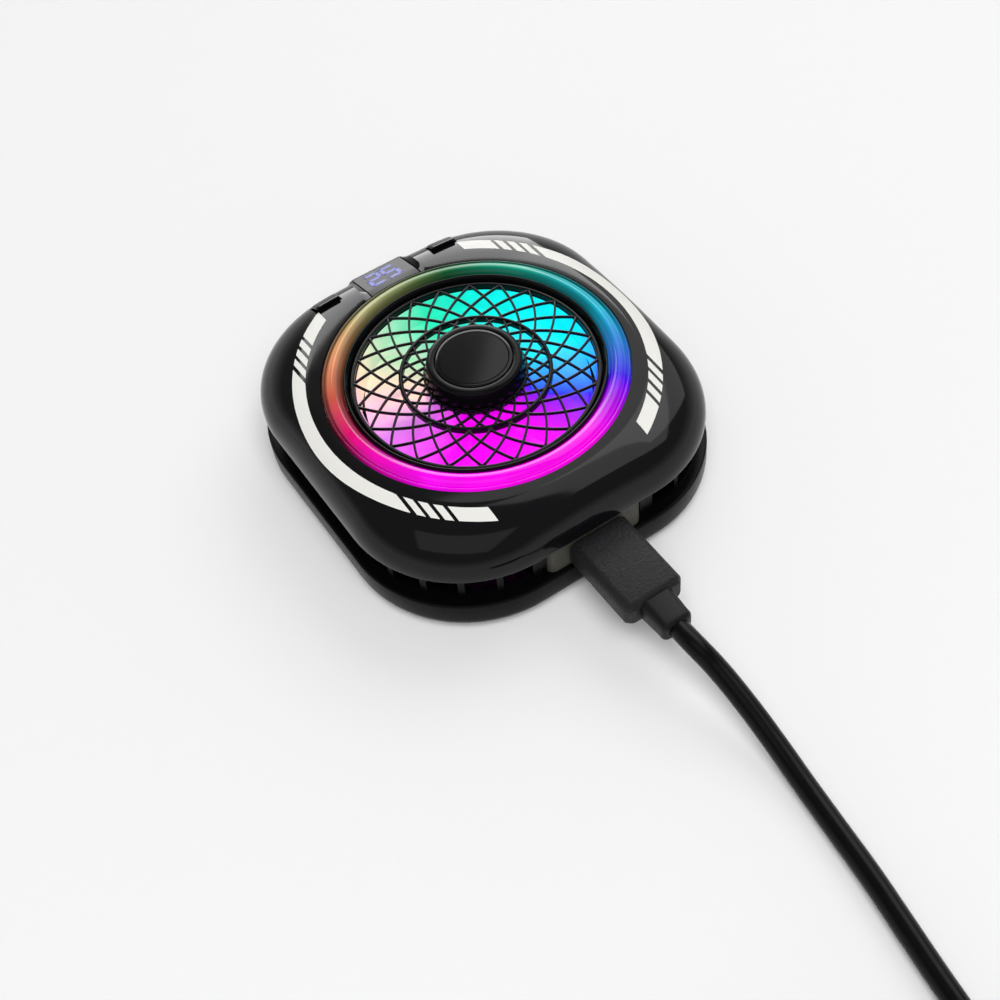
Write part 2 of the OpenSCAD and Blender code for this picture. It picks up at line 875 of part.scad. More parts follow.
module shaft_clip() {
  color("#e9e6da")
    ring(tube_ri - bush_gap, shaft_r - clip_groove + run_fit, clip_z, clip_z + clip_t);
}

module rotor_cup() {
  color("#9b9fa5")
    difference() {
      translate([0, 0, cup_z])
        cylinder(r = cup_r, h = cup_top - cup_z);
      translate([0, 0, cup_z - over])
        cylinder(r = cup_r - cup_t, h = cup_top - cup_t - cup_z + over);
      cylinder(r = 2 * shaft_r, h = ring_z);
    }
}

module rotor_magnet() {
  color("#3b3c40")
    ring(rotor_magnet_ro, rotor_magnet_ri, cup_z + rotor_magnet_lift, cup_top - cup_t);
}

// One blade: a flat plate pitched about its own radius, from the hub to a ring near the duct
module blade() {
  low = fan_hub_z + blade_lift;
  high = fan_top - blade_drop;
  difference() {
    intersection() {
      translate([0, 0, (low + high) / 2])
        rotate([blade_pitch, 0, 0])
          block(0, duct_r, -blade_chord / 2, blade_chord / 2, -blade_t / 2, blade_t / 2);
      cylinder(r = duct_r - blade_tip, h = ring_z);
    }
    cylinder(r = fan_hub_r - blade_root, h = ring_z);
  }
}

module impeller() {
  press = 0.01;
  color("#dfe6ea")
    difference() {
      union() {
        translate([0, 0, fan_hub_z])
          cylinder(r = fan_hub_r, h = fan_top - fan_hub_z);
        for (i = [0 : blade_n - 1])
          rotate(360 * i / blade_n)
            blade();
      }
      translate([0, 0, fan_hub_z - over])
        cylinder(r = fan_hub_r - hub_wall, h = cup_top - fan_hub_z + over);
      translate([0, 0, cup_top - over])
        cylinder(r = shaft_r + press, h = hub_top_t + over - shaft_cover);
    }
}

module fan_duct() {
  color("#17181a")
    difference() {
      union() {
        translate([0, 0, fin_top])
          cylinder(r = duct_ro, h = ring_z + duct_proud - fin_top, $fn = 128);
        translate([0, 0, fin_top])
          cylinder(r = flange_r, h = flange_t, $fn = 128);
      }
      translate([0, 0, fin_top - over])
        cylinder(r = duct_r, h = ring_z, $fn = 128);
      translate([0, 0, grille_z])
        cylinder(r = grille_r + fit, h = ring_z, $fn = 128);
    }
}

module led_board() {
  color("#e8e9e6")
    ring(flange_r - led_edge, duct_ro + fit, led_z, led_top);
}

module led_chips() {
  color("#f4f1dc")
    for (i = [0 : led_n - 1])
      rotate(360 * i / led_n)
        translate([led_r - led_w / 2, -led_w / 2, led_top])
          cube([led_w, led_w, led_h]);
}

module light_ring() {
  mid = (ring_ri + ring_r) / 2;
  half = (ring_r - ring_ri) / 2;
  crown_r = (half * half + ring_crown * ring_crown) / (2 * ring_crown);
  crown_n = 12;
  crown_a = asin(half / crown_r);
  arc = [
    for (i = [0 : crown_n])
      let (a = crown_a * (1 - 2 * i / crown_n))
        [mid + crown_r * sin(a), ring_top - crown_r + crown_r * cos(a)]
  ];
  roof = led_top + led_h + ring_roof;
  legs = [
    [ring_ri, led_top], [ring_ri + ring_leg, led_top], [ring_ri + ring_leg, roof],
    [ring_r - ring_leg, roof], [ring_r - ring_leg, led_top], [ring_r, led_top]
  ];
  color("#c046d8")
    rotate_extrude($fn = 128)
      polygon(concat(legs, arc));
}

// Gaps of the grille: rows of four-sided cells between two families of mirrored spiral ribs
row_step = 180 / rib_n;
row_n = floor(ln(rib_reach / hub_plate_r) / ln(row_ratio));
function row_r(k) = rib_reach * pow(row_ratio, -k);
function polar(r, a) = [r * cos(a), r * sin(a)];
// Edge of a cell from one crossing to the next, halfway point included, drawn in by half a rib
function cell(k, a) =
  let (r0 = row_r(k), r1 = row_r(k + 1), r2 = row_r(k + 2), w = rib_w / sqrt(2), s = w / r1 * 180 / PI)
  [
    polar(r0 - w, a), polar(sqrt(r0 * r1) - w / 2, a - row_step / 2 + s / 2), polar(r1, a - row_step + s),
    polar(sqrt(r1 * r2) + w / 2, a - row_step / 2 + s / 2), polar(r2 + w, a),
    polar(sqrt(r1 * r2) + w / 2, a + row_step / 2 - s / 2), polar(r1, a + row_step - s),
    polar(sqrt(r0 * r1) - w / 2, a + row_step / 2 - s / 2)
  ];
module cell_row(k) {
  for (i = [0 : rib_n - 1])
    polygon(cell(k, 90 + 2 * row_step * i + (k % 2) * row_step));
}

module fan_grille() {
  color("#0f0f10")
    translate([0, 0, grille_z])
      linear_extrude(grille_t)
        difference() {
          circle(r = grille_r, $fn = 128);
          for (k = [-1 : row_n - 1])
            intersection() {
              difference() {
                circle(r = rib_reach, $fn = 128);
                circle(r = hub_plate_r, $fn = 128);
              }
              difference() {
                cell_row(k);
                difference() {
                  circle(r = mid_r + mid_w / 2, $fn = 128);
                  circle(r = mid_r - mid_w / 2, $fn = 128);
                }
              }
            }
          circle(r = stem_r + fit, $fn = 48);
        }
}

module hub_cap() {
  color("#101012")
    difference() {
      union() {
        rotate_extrude($fn = 96)
          polygon([
            [0, grille_top], [hub_r, grille_top], [hub_r, grille_top + edge_round],
            [hub_top_r + hub_flare, grille_top + hub_h - edge_round],
            [hub_top_r - edge_round + hub_flare, grille_top + hub_h], [0, grille_top + hub_h]
          ]);
        translate([0, 0, grille_z - stem_l])
          cylinder(r = stem_r, h = grille_t + stem_l + over);
      }
      translate([0, 0, grille_top + hub_h - disc_t])
        cylinder(r = disc_r + fit, h = hub_h, $fn = 96);
    }
}

module hub_disc() {
  color("#1b1b1e")
    translate([0, 0, grille_top + hub_h - disc_t])
      cylinder(r = disc_r, h = disc_t + disc_proud, $fn = 96);
}

// Everything below turns about the inner edge of the display face and lies along its slope
module on_display_face() {
  translate([0, face_in_y, face_in_z])
    rotate([-face_tilt, 0, 0])
      children();
}

module display_window() {
  color("#1d1f2a")
    on_display_face()
      translate([-display_w / 2, window_edge, -window_t])
        cube([display_w, face_l - 2 * window_edge, window_t]);
}

module display_module() {
  margin = 0.7;
  inset = 0.4;
  module_l = module_share * (control_y1 - control_y0);
  module_h = 1.6;
  color("#26262c")
    block(-display_w / 2 + margin, display_w / 2 - margin,
          control_y0 + inset, control_y0 + inset + module_l, control_top, control_top + module_h);
}

module button_hole(s) {
  translate([s * button_x, button_y, 0])
    linear_extrude(2 * ring_z)
      square([button_l + 2 * slip, button_w + 2 * slip], center = true);
}

// Wedge of the cover that carries the display window
module display_seat() {
  seat_w = display_w + 2 * face_wall;
  sill = lip_z + cover_lip;
  under = (window_t + face_wall) * [sin(face_tilt), cos(face_tilt)];
  rotate([90, 0, 90])
    translate([0, 0, -seat_w / 2])
      linear_extrude(seat_w)
        polygon([
          [face_in_y, face_in_z] - under, [face_in_y, face_in_z - face_drop],
          [face_out_y, face_out_z - face_drop], [face_out_y + face_roll_y, face_out_z - face_roll_z],
          [body_l / 2 - face_back, sill], [body_l / 2 - wall, sill], [face_out_y, face_out_z] - under
        ]);
}

module front_cover() {
  low = lip_z + cover_lip;
  inner = [for (i = [0 : dome_n]) dome_row(i, wall, lip_z, ring_z - wall)];
  outer = [for (i = [dome_n : -1 : 0]) dome_row(i, 0, low, ring_z)];
  color("#0a0a0c")
    difference() {
      union() {
        skin(concat(inner, [flat_row(0, lip_z)], outer), looped = true);
        intersection() {
          skin(concat(
            [flat_row(0, lip_z - band_h)],
            [for (i = [dome_n : -1 : 1]) dome_row(i, 0, low, ring_z)]
          ));
          for (s = sites)
            translate([s[0] * screw_x, s[1] * screw_y, base_h])
              cylinder(r = boss_r, h = ring_z);
        }
        display_seat();
      }
      on_display_face()
        translate([-display_w / 2 - fit, window_edge - fit, -window_t - fit])
          cube([display_w + 2 * fit, face_l - 2 * window_edge + 2 * fit, window_t + over]);
      for (s = [-1, 1])
        button_hole(s);
      for (s = sites)
        translate([s[0] * screw_x, s[1] * screw_y, base_h - over])
          cylinder(r = screw_r + fit / 2, h = over + screw_grip + screw_end);
    }
}

module control_board() {
  color("#1f5a3a")
    block(-control_x, control_x, control_y0, control_y1, control_z, control_top);
}

module tact_switches() {
  color("#45474c")
    for (s = [-1, 1])
      translate([s * button_x, control_y1 - switch_w / 2, control_top])
        difference() {
          translate([-switch_l / 2, -switch_w / 2, 0])
            cube([switch_l, switch_w, switch_h]);
          translate([0, 0, switch_h - button_travel - switch_floor])
            cylinder(r = plunger_r + slip, h = switch_h);
        }
}

// Bar of a button, its top a flat slope that follows the cover below it
module button(s) {
  y0 = button_y - button_w / 2;
  y1 = button_y + button_w / 2;
  top0 = cover_level(button_x, y0) + button_rise;
  top1 = cover_level(button_x, y1) + button_rise;
  translate([s * button_x, 0, 0])
    rotate([90, 0, 90])
      translate([0, 0, -button_l / 2])
        linear_extrude(button_l)
          polygon([
            [y0, button_foot], [y1, button_foot], [y1, top1 - button_top_r],
            [y1 - button_top_r, top1], [y0, top0]
          ]);
}

module plunger(s) {
  translate([s * button_x, control_y1 - switch_w / 2, button_foot - plunger_h])
    cylinder(r = plunger_r, h = plunger_h, $fn = 32);
}

module power_button() {
  color("#121214")
    button(-1);
}

module power_plunger() {
  color("#d9d4c6")
    plunger(-1);
}

module mode_button() {
  color("#121214")
    button(1);
}

module mode_plunger() {
  color("#d9d4c6")
    plunger(1);
}

module main_board() {
  color("#1f5a3a")
    block(-main_x, main_x, main_y0, main_y1, main_z, main_top);
}

module usb_socket() {
  color("#c4c8cc")
    difference() {
      slot_bar(socket_w, socket_h, socket_y, socket_y + socket_l, port_z);
      slot_bar(socket_w - 2 * socket_t, socket_h - 2 * socket_t, socket_y - over,
               socket_y + socket_l - socket_back, port_z);
    }
}

module usb_tongue() {
  y1 = socket_y + socket_l - socket_back;
  color("#17181b")
    block(-tongue_w / 2, tongue_w / 2, y1 - tongue_l, y1, port_z - tongue_t / 2, port_z + tongue_t / 2);
}

module port_surround() {
  color("#2a2b2d")
    difference() {
      block(-port_x, port_x, port_y, port_back, base_h, lip_z);
      slot_bar(socket_w + 2 * fit, socket_h + 2 * fit, port_y - over, port_back + over, port_z);
    }
}

module case_screws() {
  head_z = pad_t + screw_sink;
  drive_r = 0.9;
  drive_w = 0.4;
  color("#55585d")
    for (s = sites)
      translate([s[0] * screw_x, s[1] * screw_y, head_z])
        difference() {
          union() {
            cylinder(r = screw_head_r, h = screw_head_t);
            cylinder(r = screw_r, h = base_h + screw_grip - head_z);
          }
          for (a = [0, 90])
            rotate(a)
              cube([2 * drive_r, drive_w, screw_head_t], center = true);
        }
}

module peltier_leads() {
  lead_x = 2;
  lead_out = 3;
  lead_in = 1.5;
  lead_z = (floor_top + sink_z) / 2;
  color("#b3242a")
    for (s = [-1, 1])
      wire([
        [s * lead_x, -tec_w / 2, pellet_z + pellet_h / 2], [s * lead_x, -tec_w / 2 - lead_out, lead_z],
        [s * lead_x, main_y1 - lead_in, lead_z], [s * lead_x, main_y1 - lead_in, main_z]
      ], wire_d);
}

module fan_leads() {
  lead_x = 1.2;
  start = 0.4;
  drop = 0.8;
  run = 3;
  climb = 1.6;
  lap = 0.8;
  low = sink_top + fan_wire_d / 2 + wire_lift;
  high = main_top + fan_wire_d / 2 + wire_lift;
  color("#d8b028")
    for (s = [-1, 1])
      wire([
        [s * lead_x, -motor_plate_r + start, motor_z + board_t / 2],
        [s * lead_x, -motor_plate_r - drop, motor_z],
        [s * lead_x, -motor_plate_r - run, low], [s * lead_x, bay_y + climb, low],
        [s * lead_x, main_y1 + fan_wire_d / 2, high], [s * lead_x, main_y1 - lap, high]
      ], fan_wire_d);
}

module display_leads() {
  from = 246;
  to = 114;
  bend = 12;
  rise = harness_z - main_top;
  pad_x = 3;
  pad_y = 2;
  first_x = 2.5;
  first_y = 2.6;
  next_x = 1.3;
  next_y = 3.4;
  end_x = 2.5;
  end_run = 0.6;
  color("#d6d6d6")
    tube(concat(
      [
        [pad_x - main_x, main_y1 - pad_y, main_top + wire_d / 2 + wire_lift],
        [first_x - main_x, main_y1 - first_y, main_top + 0.3 * rise],
        [next_x - main_x, main_y1 - next_y, main_top + 0.6 * rise]
      ],
      [for (a = [from : -bend : to]) [harness_r * cos(a), harness_r * sin(a), harness_z]],
      [[end_x - control_x, control_y0 - end_run, harness_z], [end_x - control_x, control_y0, harness_z]]
    ), wire_d, 8);
}

module plug_housing() {
  color("#1a1b1d")
    translate([0, plug_face, port_z])
      rotate([90, 0, 0])
        difference() {
          linear_extrude(plug_l)
            round_rect(plug_w, plug_h, plug_round);
          translate([0, 0, -over])
            linear_extrude(over + shell_grip)
              slot(shell_w, shell_h);
        }
}

module plug_shell() {
  tip = plug_face + plug_in;
  color("#c9cdd1")
    difference() {
      slot_bar(shell_w, shell_h, plug_face - shell_grip, tip, port_z);
      slot_bar(shell_w - 2 * shell_t, shell_h - 2 * shell_t, plug_face, tip + over, port_z);
    }
}

module plug_relief() {
  color("#161719")
    translate([0, plug_back, port_z])
      rotate([90, 0, 0])
        linear_extrude(relief_l)
          round_rect(relief_w, relief_h, relief_round);
}

function length(p) = len(p) < 2 ? 0 : sum_steps(p, len(p) - 1);
function sum_steps(p, i) = i == 0 ? 0 : norm(p[i] - p[i - 1]) + sum_steps(p, i - 1);

module cable() {
  echo("length of the lead, mm", length(cord_route) + length(coil_route) + length(tail_route));
  color("#0d0d0e")
    tube(cord_route, cord_d, 8);
}

// Least distance between stretches of the coil that are half a loop or more apart
function near_gap(p) = min([
  for (i = [0 : len(p) - 1]) for (j = [i + loop_rings / 2 : 1 : len(p) - 1]) norm(p[i] - p[j])
]) - cord_d;

module cable_coil() {
  echo("least gap between turns of the coil, mm", near_gap(coil_route));
  color("#0d0d0e")
    tube(coil_route, cord_d, 6);
}

module cable_tail() {
  color("#0d0d0e")
    tube(tail_route, cord_d, 8);
}

// Strap round the bundle of turns
module cable_tie() {
  strap_w = 5;
  strap_t = 0.6;
  tie_turn = -130;
  clear = coil_lift - strap_t;
  ri = coil_r0 - coil_pitch * turns_in - cord_r - clear;
  ro = coil_r0 + cord_r + clear;
  top = coil_z + layer_rise + cord_r + clear;
  color("#2e2f31")
    translate([coil_x, coil_y, 0])
      rotate(tie_turn)
        difference() {
          block(ri - strap_t, ro + strap_t, -strap_w / 2, strap_w / 2, 0, top + strap_t);
          block(ri, ro, -strap_w, strap_w, strap_t, top);
        }
}

// Local frame of the far plug: along +X from the end of the cable
module at_far_plug() {
  translate(far_at)
    rotate(far_turn)
      children();
}

module usb_a_relief() {
  color("#161719")
    at_far_plug()
      rotate([0, 90, 0])
        cylinder(d = far_relief_d, h = far_relief_l);
}

module usb_a_housing() {
  color("#1a1b1d")
    at_far_plug()
      translate([far_relief_l, 0, 0])
        difference() {
          rotate([90, 0, 90])
            linear_extrude(far_plug_l)
              round_rect(far_plug_w, far_plug_h, far_round);
          translate([far_plug_l - far_grip, -far_shell_w / 2, -far_shell_h / 2])
            cube([far_grip + over, far_shell_w, far_shell_h]);
        }
}

module usb_a_shell() {
  color("#c9cdd1")
    at_far_plug()
      translate([far_relief_l + far_plug_l - far_grip, 0, 0])
        difference() {
          translate([0, -far_shell_w / 2, -far_shell_h / 2])
            cube([far_grip + far_shell_l, far_shell_w, far_shell_h]);
          translate([far_grip, -far_shell_w / 2 + far_shell_t, -far_shell_h / 2 + far_shell_t])
            cube([far_shell_l + over, far_shell_w - 2 * far_shell_t, far_shell_h - 2 * far_shell_t]);
        }
}

module usb_a_tongue() {
  color("#e8e8e4")
    at_far_plug()
      translate([far_relief_l + far_plug_l, -far_shell_w / 2 + far_shell_t, -far_shell_h / 2 + far_shell_t])
        cube([far_shell_l - far_tongue_back, far_shell_w - 2 * far_shell_t, far_tongue_t]);
}

contact_pad();
cold_plate();
base_shell();
ring_magnets();
cold_side_pad();
peltier_cold_ceramic();
peltier_pellets();
peltier_hot_ceramic();
hot_side_pad();
foam_gasket();
heatsink();
thermistor();
vent_frame();
motor_base();
fan_board();
bearing_bush();
stator_core();
stator_coils();
fan_shaft();
shaft_clip();
rotor_cup();
rotor_magnet();
impeller();
fan_duct();
led_board();
led_chips();
light_ring();
fan_grille();
hub_cap();
hub_disc();
front_cover();
display_window();
display_module();
control_board();
tact_switches();
power_button();
power_plunger();
mode_button();
mode_plunger();
main_board();
usb_socket();
usb_tongue();
port_surround();
case_screws();
peltier_leads();
fan_leads();
display_leads();
plug_housing();
plug_shell();
plug_relief();
cable();
cable_coil();
cable_tail();
cable_tie();
usb_a_relief();
usb_a_housing();
usb_a_shell();
usb_a_tongue();
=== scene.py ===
# %% [markdown]
# A cooling fan that holds by magnets: a rounded square body, a domed gloss cover with white
# stripes, a light ring, a lattice grille over a lit fan, and a supply lead that plugs into the
# near side. The solids come from the imported frame. This lesson dresses them: each step names a
# piece, says how it is made on the real object, and models it in Blender at the same place.
# The first cell loads the frame.

# %% Load the frame
from math import atan2, ceil, copysign, cos, hypot, log, pi, radians, sin, sqrt

import bmesh
import bpy
from mathutils import Matrix, Vector


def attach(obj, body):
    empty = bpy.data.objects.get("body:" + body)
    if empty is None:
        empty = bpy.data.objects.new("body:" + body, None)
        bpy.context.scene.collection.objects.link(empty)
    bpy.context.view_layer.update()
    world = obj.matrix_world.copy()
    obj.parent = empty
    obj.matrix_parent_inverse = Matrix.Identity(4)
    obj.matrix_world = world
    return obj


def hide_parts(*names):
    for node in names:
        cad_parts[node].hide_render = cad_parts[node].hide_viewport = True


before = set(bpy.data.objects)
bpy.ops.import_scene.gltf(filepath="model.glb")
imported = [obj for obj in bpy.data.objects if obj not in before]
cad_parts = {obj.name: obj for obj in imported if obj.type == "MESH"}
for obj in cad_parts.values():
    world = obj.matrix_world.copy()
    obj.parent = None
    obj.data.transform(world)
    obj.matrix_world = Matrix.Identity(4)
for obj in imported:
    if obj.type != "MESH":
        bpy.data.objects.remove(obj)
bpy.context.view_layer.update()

mm = 0.001

# %% [markdown]
# The camera stands in front and to the left of the socket, high up, and leans a little to one
# side. A camera can be aimed with a Track To constraint, but its roll and its place in the
# picture are then hard to set. Here its three axes are worked out from the angles, and its
# place is a distance back along its line of sight plus a small step across and up.
# The view is Standard, so a colour on a surface comes out about as it is written.

# %% Camera
view_azimuth = radians(-27.58)
view_elevation = radians(51.75)
view_roll = radians(-7.61)
view_distance = 272.19 * mm
view_across = 2.4446 * mm
view_up = -9.4585 * mm
picture_px = 1000
focal_px = 1565
sensor_width = 36

back = Vector((sin(view_azimuth) * cos(view_elevation), -cos(view_azimuth) * cos(view_elevation),
               sin(view_elevation)))
level_right = Vector((cos(view_azimuth), sin(view_azimuth), 0))
level_up = back.cross(level_right)
right = cos(view_roll) * level_right + sin(view_roll) * level_up
up = cos(view_roll) * level_up - sin(view_roll) * level_right

camera_data = bpy.data.cameras.new("camera")
camera_data.sensor_width = sensor_width
camera_data.lens = sensor_width * focal_px / picture_px
camera_data.clip_start = 10 * mm
camera = bpy.data.objects.new("camera", camera_data)
bpy.context.collection.objects.link(camera)
place = Matrix((right, up, back)).transposed().to_4x4()
place.translation = view_across * right + view_up * up + view_distance * back
camera.matrix_world = place
bpy.context.scene.camera = camera
bpy.context.scene.view_settings.view_transform = "Standard"
print("camera at", [round(x, 3) for x in camera.location], "lens", round(camera_data.lens, 2))

# %% [markdown]
# The lead is a round cable about a metre long. It leaves the plug, drops to the table, runs
# straight away from the body, and the rest lies in a coil of two layers. A cable can be a swept
# mesh, but a curve with a round bevel keeps its own centreline, which is what gets measured.
# The free stretch is a short list of points, and the coil is one loop of a formula: seven
# turns, in on the first layer and out again on the second.

# %% Lead
cord_d = 3.5
plug_back_y = -54.6
port_z = 9.1
coil_centre = (-32, -145)
coil_pitch = 4.1
half_turns = 3.5
coil_r0 = 19.88 + coil_pitch * half_turns / 2
coil_z = 2.65
layer_rise = 4.1
loop_points = 24
far_turn = radians(215)
far_z = 3.8
tail_stub = 1.5
tail_lead = 8.2
tail_bend = 21.2
tail_turn = radians(270) - far_turn


def smooth_step(t):
    t = min(1, max(0, t))
    return t * t * (3 - 2 * t)


def coil_point(k):
    r = coil_r0 - coil_pitch * (k if k <= half_turns else 2 * half_turns - k)
    level = coil_z + layer_rise * smooth_step((k - half_turns + 0.25) / 0.5)
    return (coil_centre[0] + r * cos(-2 * pi * k), coil_centre[1] + r * sin(-2 * pi * k), level)


coil_entry = (coil_centre[0] + coil_r0, coil_centre[1] + cord_d, coil_z)
free_route = [
    (0, plug_back_y, port_z), (0.1, plug_back_y - 4, port_z), (0.9, -62, 7.4), (1.4, -69, 5.2),
    (1.4, -76, 3.2), (0.9, -83, 2.1), (0.1, -91, 1.8), (-0.8, -99, 1.8), (-2, -107, 1.8),
    (-3.2, -115, 1.8), (-4.2, -123, 1.9), (-4.9, -131, 2.3),
    (coil_entry[0], coil_entry[1] + 5, coil_z), coil_entry,
]
coil_route = [coil_point(i / loop_points) for i in range(int(2 * half_turns * loop_points) + 1)]
tail_from = (coil_route[-1][0], coil_route[-1][1] - cord_d - tail_stub, coil_route[-1][2])
tail_share = tail_lead / (tail_lead + tail_bend * tail_turn)


def tail_point(f):
    run = min(1, f / tail_share)
    turn = tail_turn * max(0, f - tail_share) / (1 - tail_share)
    return (tail_from[0] - tail_bend * (1 - cos(turn)),
            tail_from[1] - tail_lead * run - tail_bend * sin(turn),
            tail_from[2] + (far_z - tail_from[2]) * smooth_step(f))


tail_steps = 8
tail_route = [tail_point(i / tail_steps) for i in range(tail_steps + 1)]
far_at = (tail_route[-1][0] + tail_stub * cos(far_turn),
          tail_route[-1][1] + tail_stub * sin(far_turn), far_z)
cable_route = free_route + coil_route + [(tail_from[0], tail_from[1] + tail_stub, tail_from[2])]
cable_route += tail_route + [far_at]

cable_curve = bpy.data.curves.new("supply_cable", "CURVE")
cable_curve.dimensions = "3D"
cable_curve.bevel_depth = 1
cable_curve.bevel_resolution = 5
cable_curve.resolution_u = 4
cable_curve.use_fill_caps = True
spline = cable_curve.splines.new("BEZIER")
spline.bezier_points.add(len(cable_route) - 1)
for point, at in zip(spline.bezier_points, cable_route):
    point.co = Vector(at) * mm
    point.radius = cord_d / 2 * mm
    point.handle_left_type = point.handle_right_type = "AUTO"
supply_cable = bpy.data.objects.new("supply_cable", cable_curve)
bpy.context.collection.objects.link(supply_cable)
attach(supply_cable, "lead")
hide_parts("cable", "cable_coil", "cable_tail")

# %% [markdown]
# Finishes come before shapes here, so that each piece can be dressed as soon as it is modelled.
# A colour is written as its sRGB hex value, and one function turns
# it to the linear numbers that shaders work in. One small function adds a node, sets it and
# links it. Sizes of patterns are real ones: a noise of scale s has features about 1/s across.

# %% Colour and node helpers
def linear(hex_colour):
    channels = [int(hex_colour[i:i + 2], 16) / 255 for i in (1, 3, 5)]
    return [c / 12.92 if c <= 0.04045 else ((c + 0.055) / 1.055) ** 2.4 for c in channels] + [1]


def add_node(material, kind, inputs=None, **settings):
    made = material.node_tree.nodes.new("ShaderNode" + kind)
    for name, value in settings.items():
        setattr(made, name, value)
    for name, value in (inputs or {}).items():
        if isinstance(value, bpy.types.NodeSocket):
            material.node_tree.links.new(value, made.inputs[name])
        else:
            made.inputs[name].default_value = value
    return made


def new_finish(name, **values):
    material = bpy.data.materials.new(name)
    material.use_nodes = True
    shader = material.node_tree.nodes["Principled BSDF"]
    for socket, value in values.items():
        shader.inputs[socket.replace("_", " ")].default_value = value
    return material, shader


def link(material, output, shader, socket):
    material.node_tree.links.new(output, shader.inputs[socket])


def object_place(material):
    return add_node(material, "TexCoord").outputs["Object"]


print("sRGB #808080 in linear:", round(linear("#808080")[0], 4))

# %% [markdown]
# Moulded plastics make up most of the body. Polished tools give the cover and hub a gloss with
# a faint unevenness that makes reflections waver. Etched tools give the base and the plug a
# fine satin grain, which widens highlights. Both are the same idea at two sizes: a noise that
# sets small bumps and lets the roughness drift a little, so that no surface is one flat tone.
# The black ones mirror less than they could, because the pale floor would wash them out.

# %% Moulded plastics
noise_span = (0.3, 0.7)


def roughen(material, shader, pattern, gloss, depth_mm, span=noise_span):
    height = pattern.outputs["Fac"]
    bump = add_node(material, "Bump", {"Height": height, "Distance": depth_mm * mm, "Strength": 1.0})
    drift = add_node(material, "MapRange", {"Value": height, "From Min": span[0], "From Max": span[1],
                                            "To Min": gloss[0], "To Max": gloss[1]})
    link(material, bump.outputs["Normal"], shader, "Normal")
    link(material, drift.outputs["Result"], shader, "Roughness")


def moulded_plastic(name, colour, gloss, grain_mm, depth_mm, ior=1.5, specular=0.5):
    material, shader = new_finish(name, Base_Color=linear(colour), IOR=ior, Specular_IOR_Level=specular)
    grain = add_node(material, "TexNoise", {"Vector": object_place(material),
                                            "Scale": 1 / (grain_mm * mm), "Detail": 3.0,
                                            "Roughness": 0.55})
    roughen(material, shader, grain, gloss, depth_mm)
    return material


# Polished ABS: deep black with clear, slightly wavering reflections
gloss_abs = moulded_plastic("polished_black_ABS", "#0B0B0D", (0.06, 0.1), 9, 0.004, specular=0.25)
# The hub cap is the same plastic from a less polished tool
hub_abs = moulded_plastic("satin_polished_black_ABS", "#08080A", (0.14, 0.2), 3, 0.002, specular=0.12)
# Etched ABS: the grain widens highlights to a soft sheen, drawn coarser than it is to show
base_abs = moulded_plastic("etched_black_ABS", "#050506", (0.26, 0.34), 0.7, 0.0012, specular=0.1)
# Semi-gloss ABS of the grille and duct: dark, so that the light behind it stands out
grille_abs = moulded_plastic("semi_gloss_black_ABS", "#040405", (0.2, 0.28), 1.2, 0.002, specular=0.14)
# Spark-eroded nylon round the port: dull and a little warm
port_nylon = moulded_plastic("spark_eroded_grey_nylon", "#3E3D36", (0.5, 0.62), 0.4, 0.012,
                             specular=0.35)
# Soft over-moulding of the plugs: matt, fine and pebbled
plug_tpe = moulded_plastic("pebbled_black_TPE", "#171719", (0.36, 0.62), 0.45, 0.12, specular=0.3)
# The sleeves come from a smooth tool, so they keep a dull sheen
relief_tpe = moulded_plastic("smooth_black_TPE", "#101011", (0.36, 0.48), 0.5, 0.008, specular=0.2)
# PVC jacket: extruded, so smooth along its length with a soft gloss
cable_pvc = moulded_plastic("extruded_black_PVC", "#060607", (0.24, 0.34), 1.2, 0.006, specular=0.15)
# Silicone: grey and dull, with no clear highlight
silicone = moulded_plastic("matt_grey_silicone", "#2B2C2E", (0.6, 0.75), 0.6, 0.01, 1.41)
# Nylon inside the case: dull black where it is dyed, cream where it is left natural
inner_nylon = moulded_plastic("moulded_black_nylon", "#17181A", (0.45, 0.6), 0.6, 0.01)
natural_nylon = moulded_plastic("natural_nylon", "#D9D4C6", (0.4, 0.5), 0.6, 0.005)
# Solder mask: a smooth lacquer, green on the boards and white behind the lamps
solder_mask = moulded_plastic("green_solder_mask", "#1F5A3A", (0.3, 0.45), 1.0, 0.006)
white_mask = moulded_plastic("white_solder_mask", "#E8E9E6", (0.35, 0.5), 1.0, 0.006)
# Fired alumina is a chalky white, and the gel pads and the foam are quite matt
alumina = moulded_plastic("white_alumina", "#F2F0EA", (0.45, 0.6), 0.3, 0.004, 1.7)
thermal_gel = moulded_plastic("filled_silicone_pad", "#9AA7B4", (0.6, 0.75), 0.4, 0.02)
closed_foam = moulded_plastic("closed_cell_foam", "#3A3B3D", (0.85, 0.95), 0.5, 0.05)
# Cast epoxy of the lamps: cream and glossy
led_epoxy = moulded_plastic("LED_epoxy", "#F4F1DC", (0.15, 0.25), 0.5, 0.002)
# Woven strap: matt and dark, with coarse bumps for its threads
strap_loop = moulded_plastic("woven_nylon_strap", "#2A2B2D", (0.8, 0.95), 0.45, 0.08)
# Wire PVC: a soft gloss in plain signal colours
wire_coats = {colour: moulded_plastic(colour + "_wire_PVC", code, (0.35, 0.45), 0.8, 0.004)
              for colour, code in (("red", "#B3242A"), ("yellow", "#D8B028"), ("grey", "#C9C9C9"))}
print("plastics:", len(bpy.data.materials))

# %% [markdown]
# Metals show how they were worked. Turned and ground faces carry fine lines that stretch
# highlights, plated shells are smooth with a slight haze, and sintered or cast parts are dull.
# A stretched noise gives the lines: it is squeezed across them and drawn out along them.

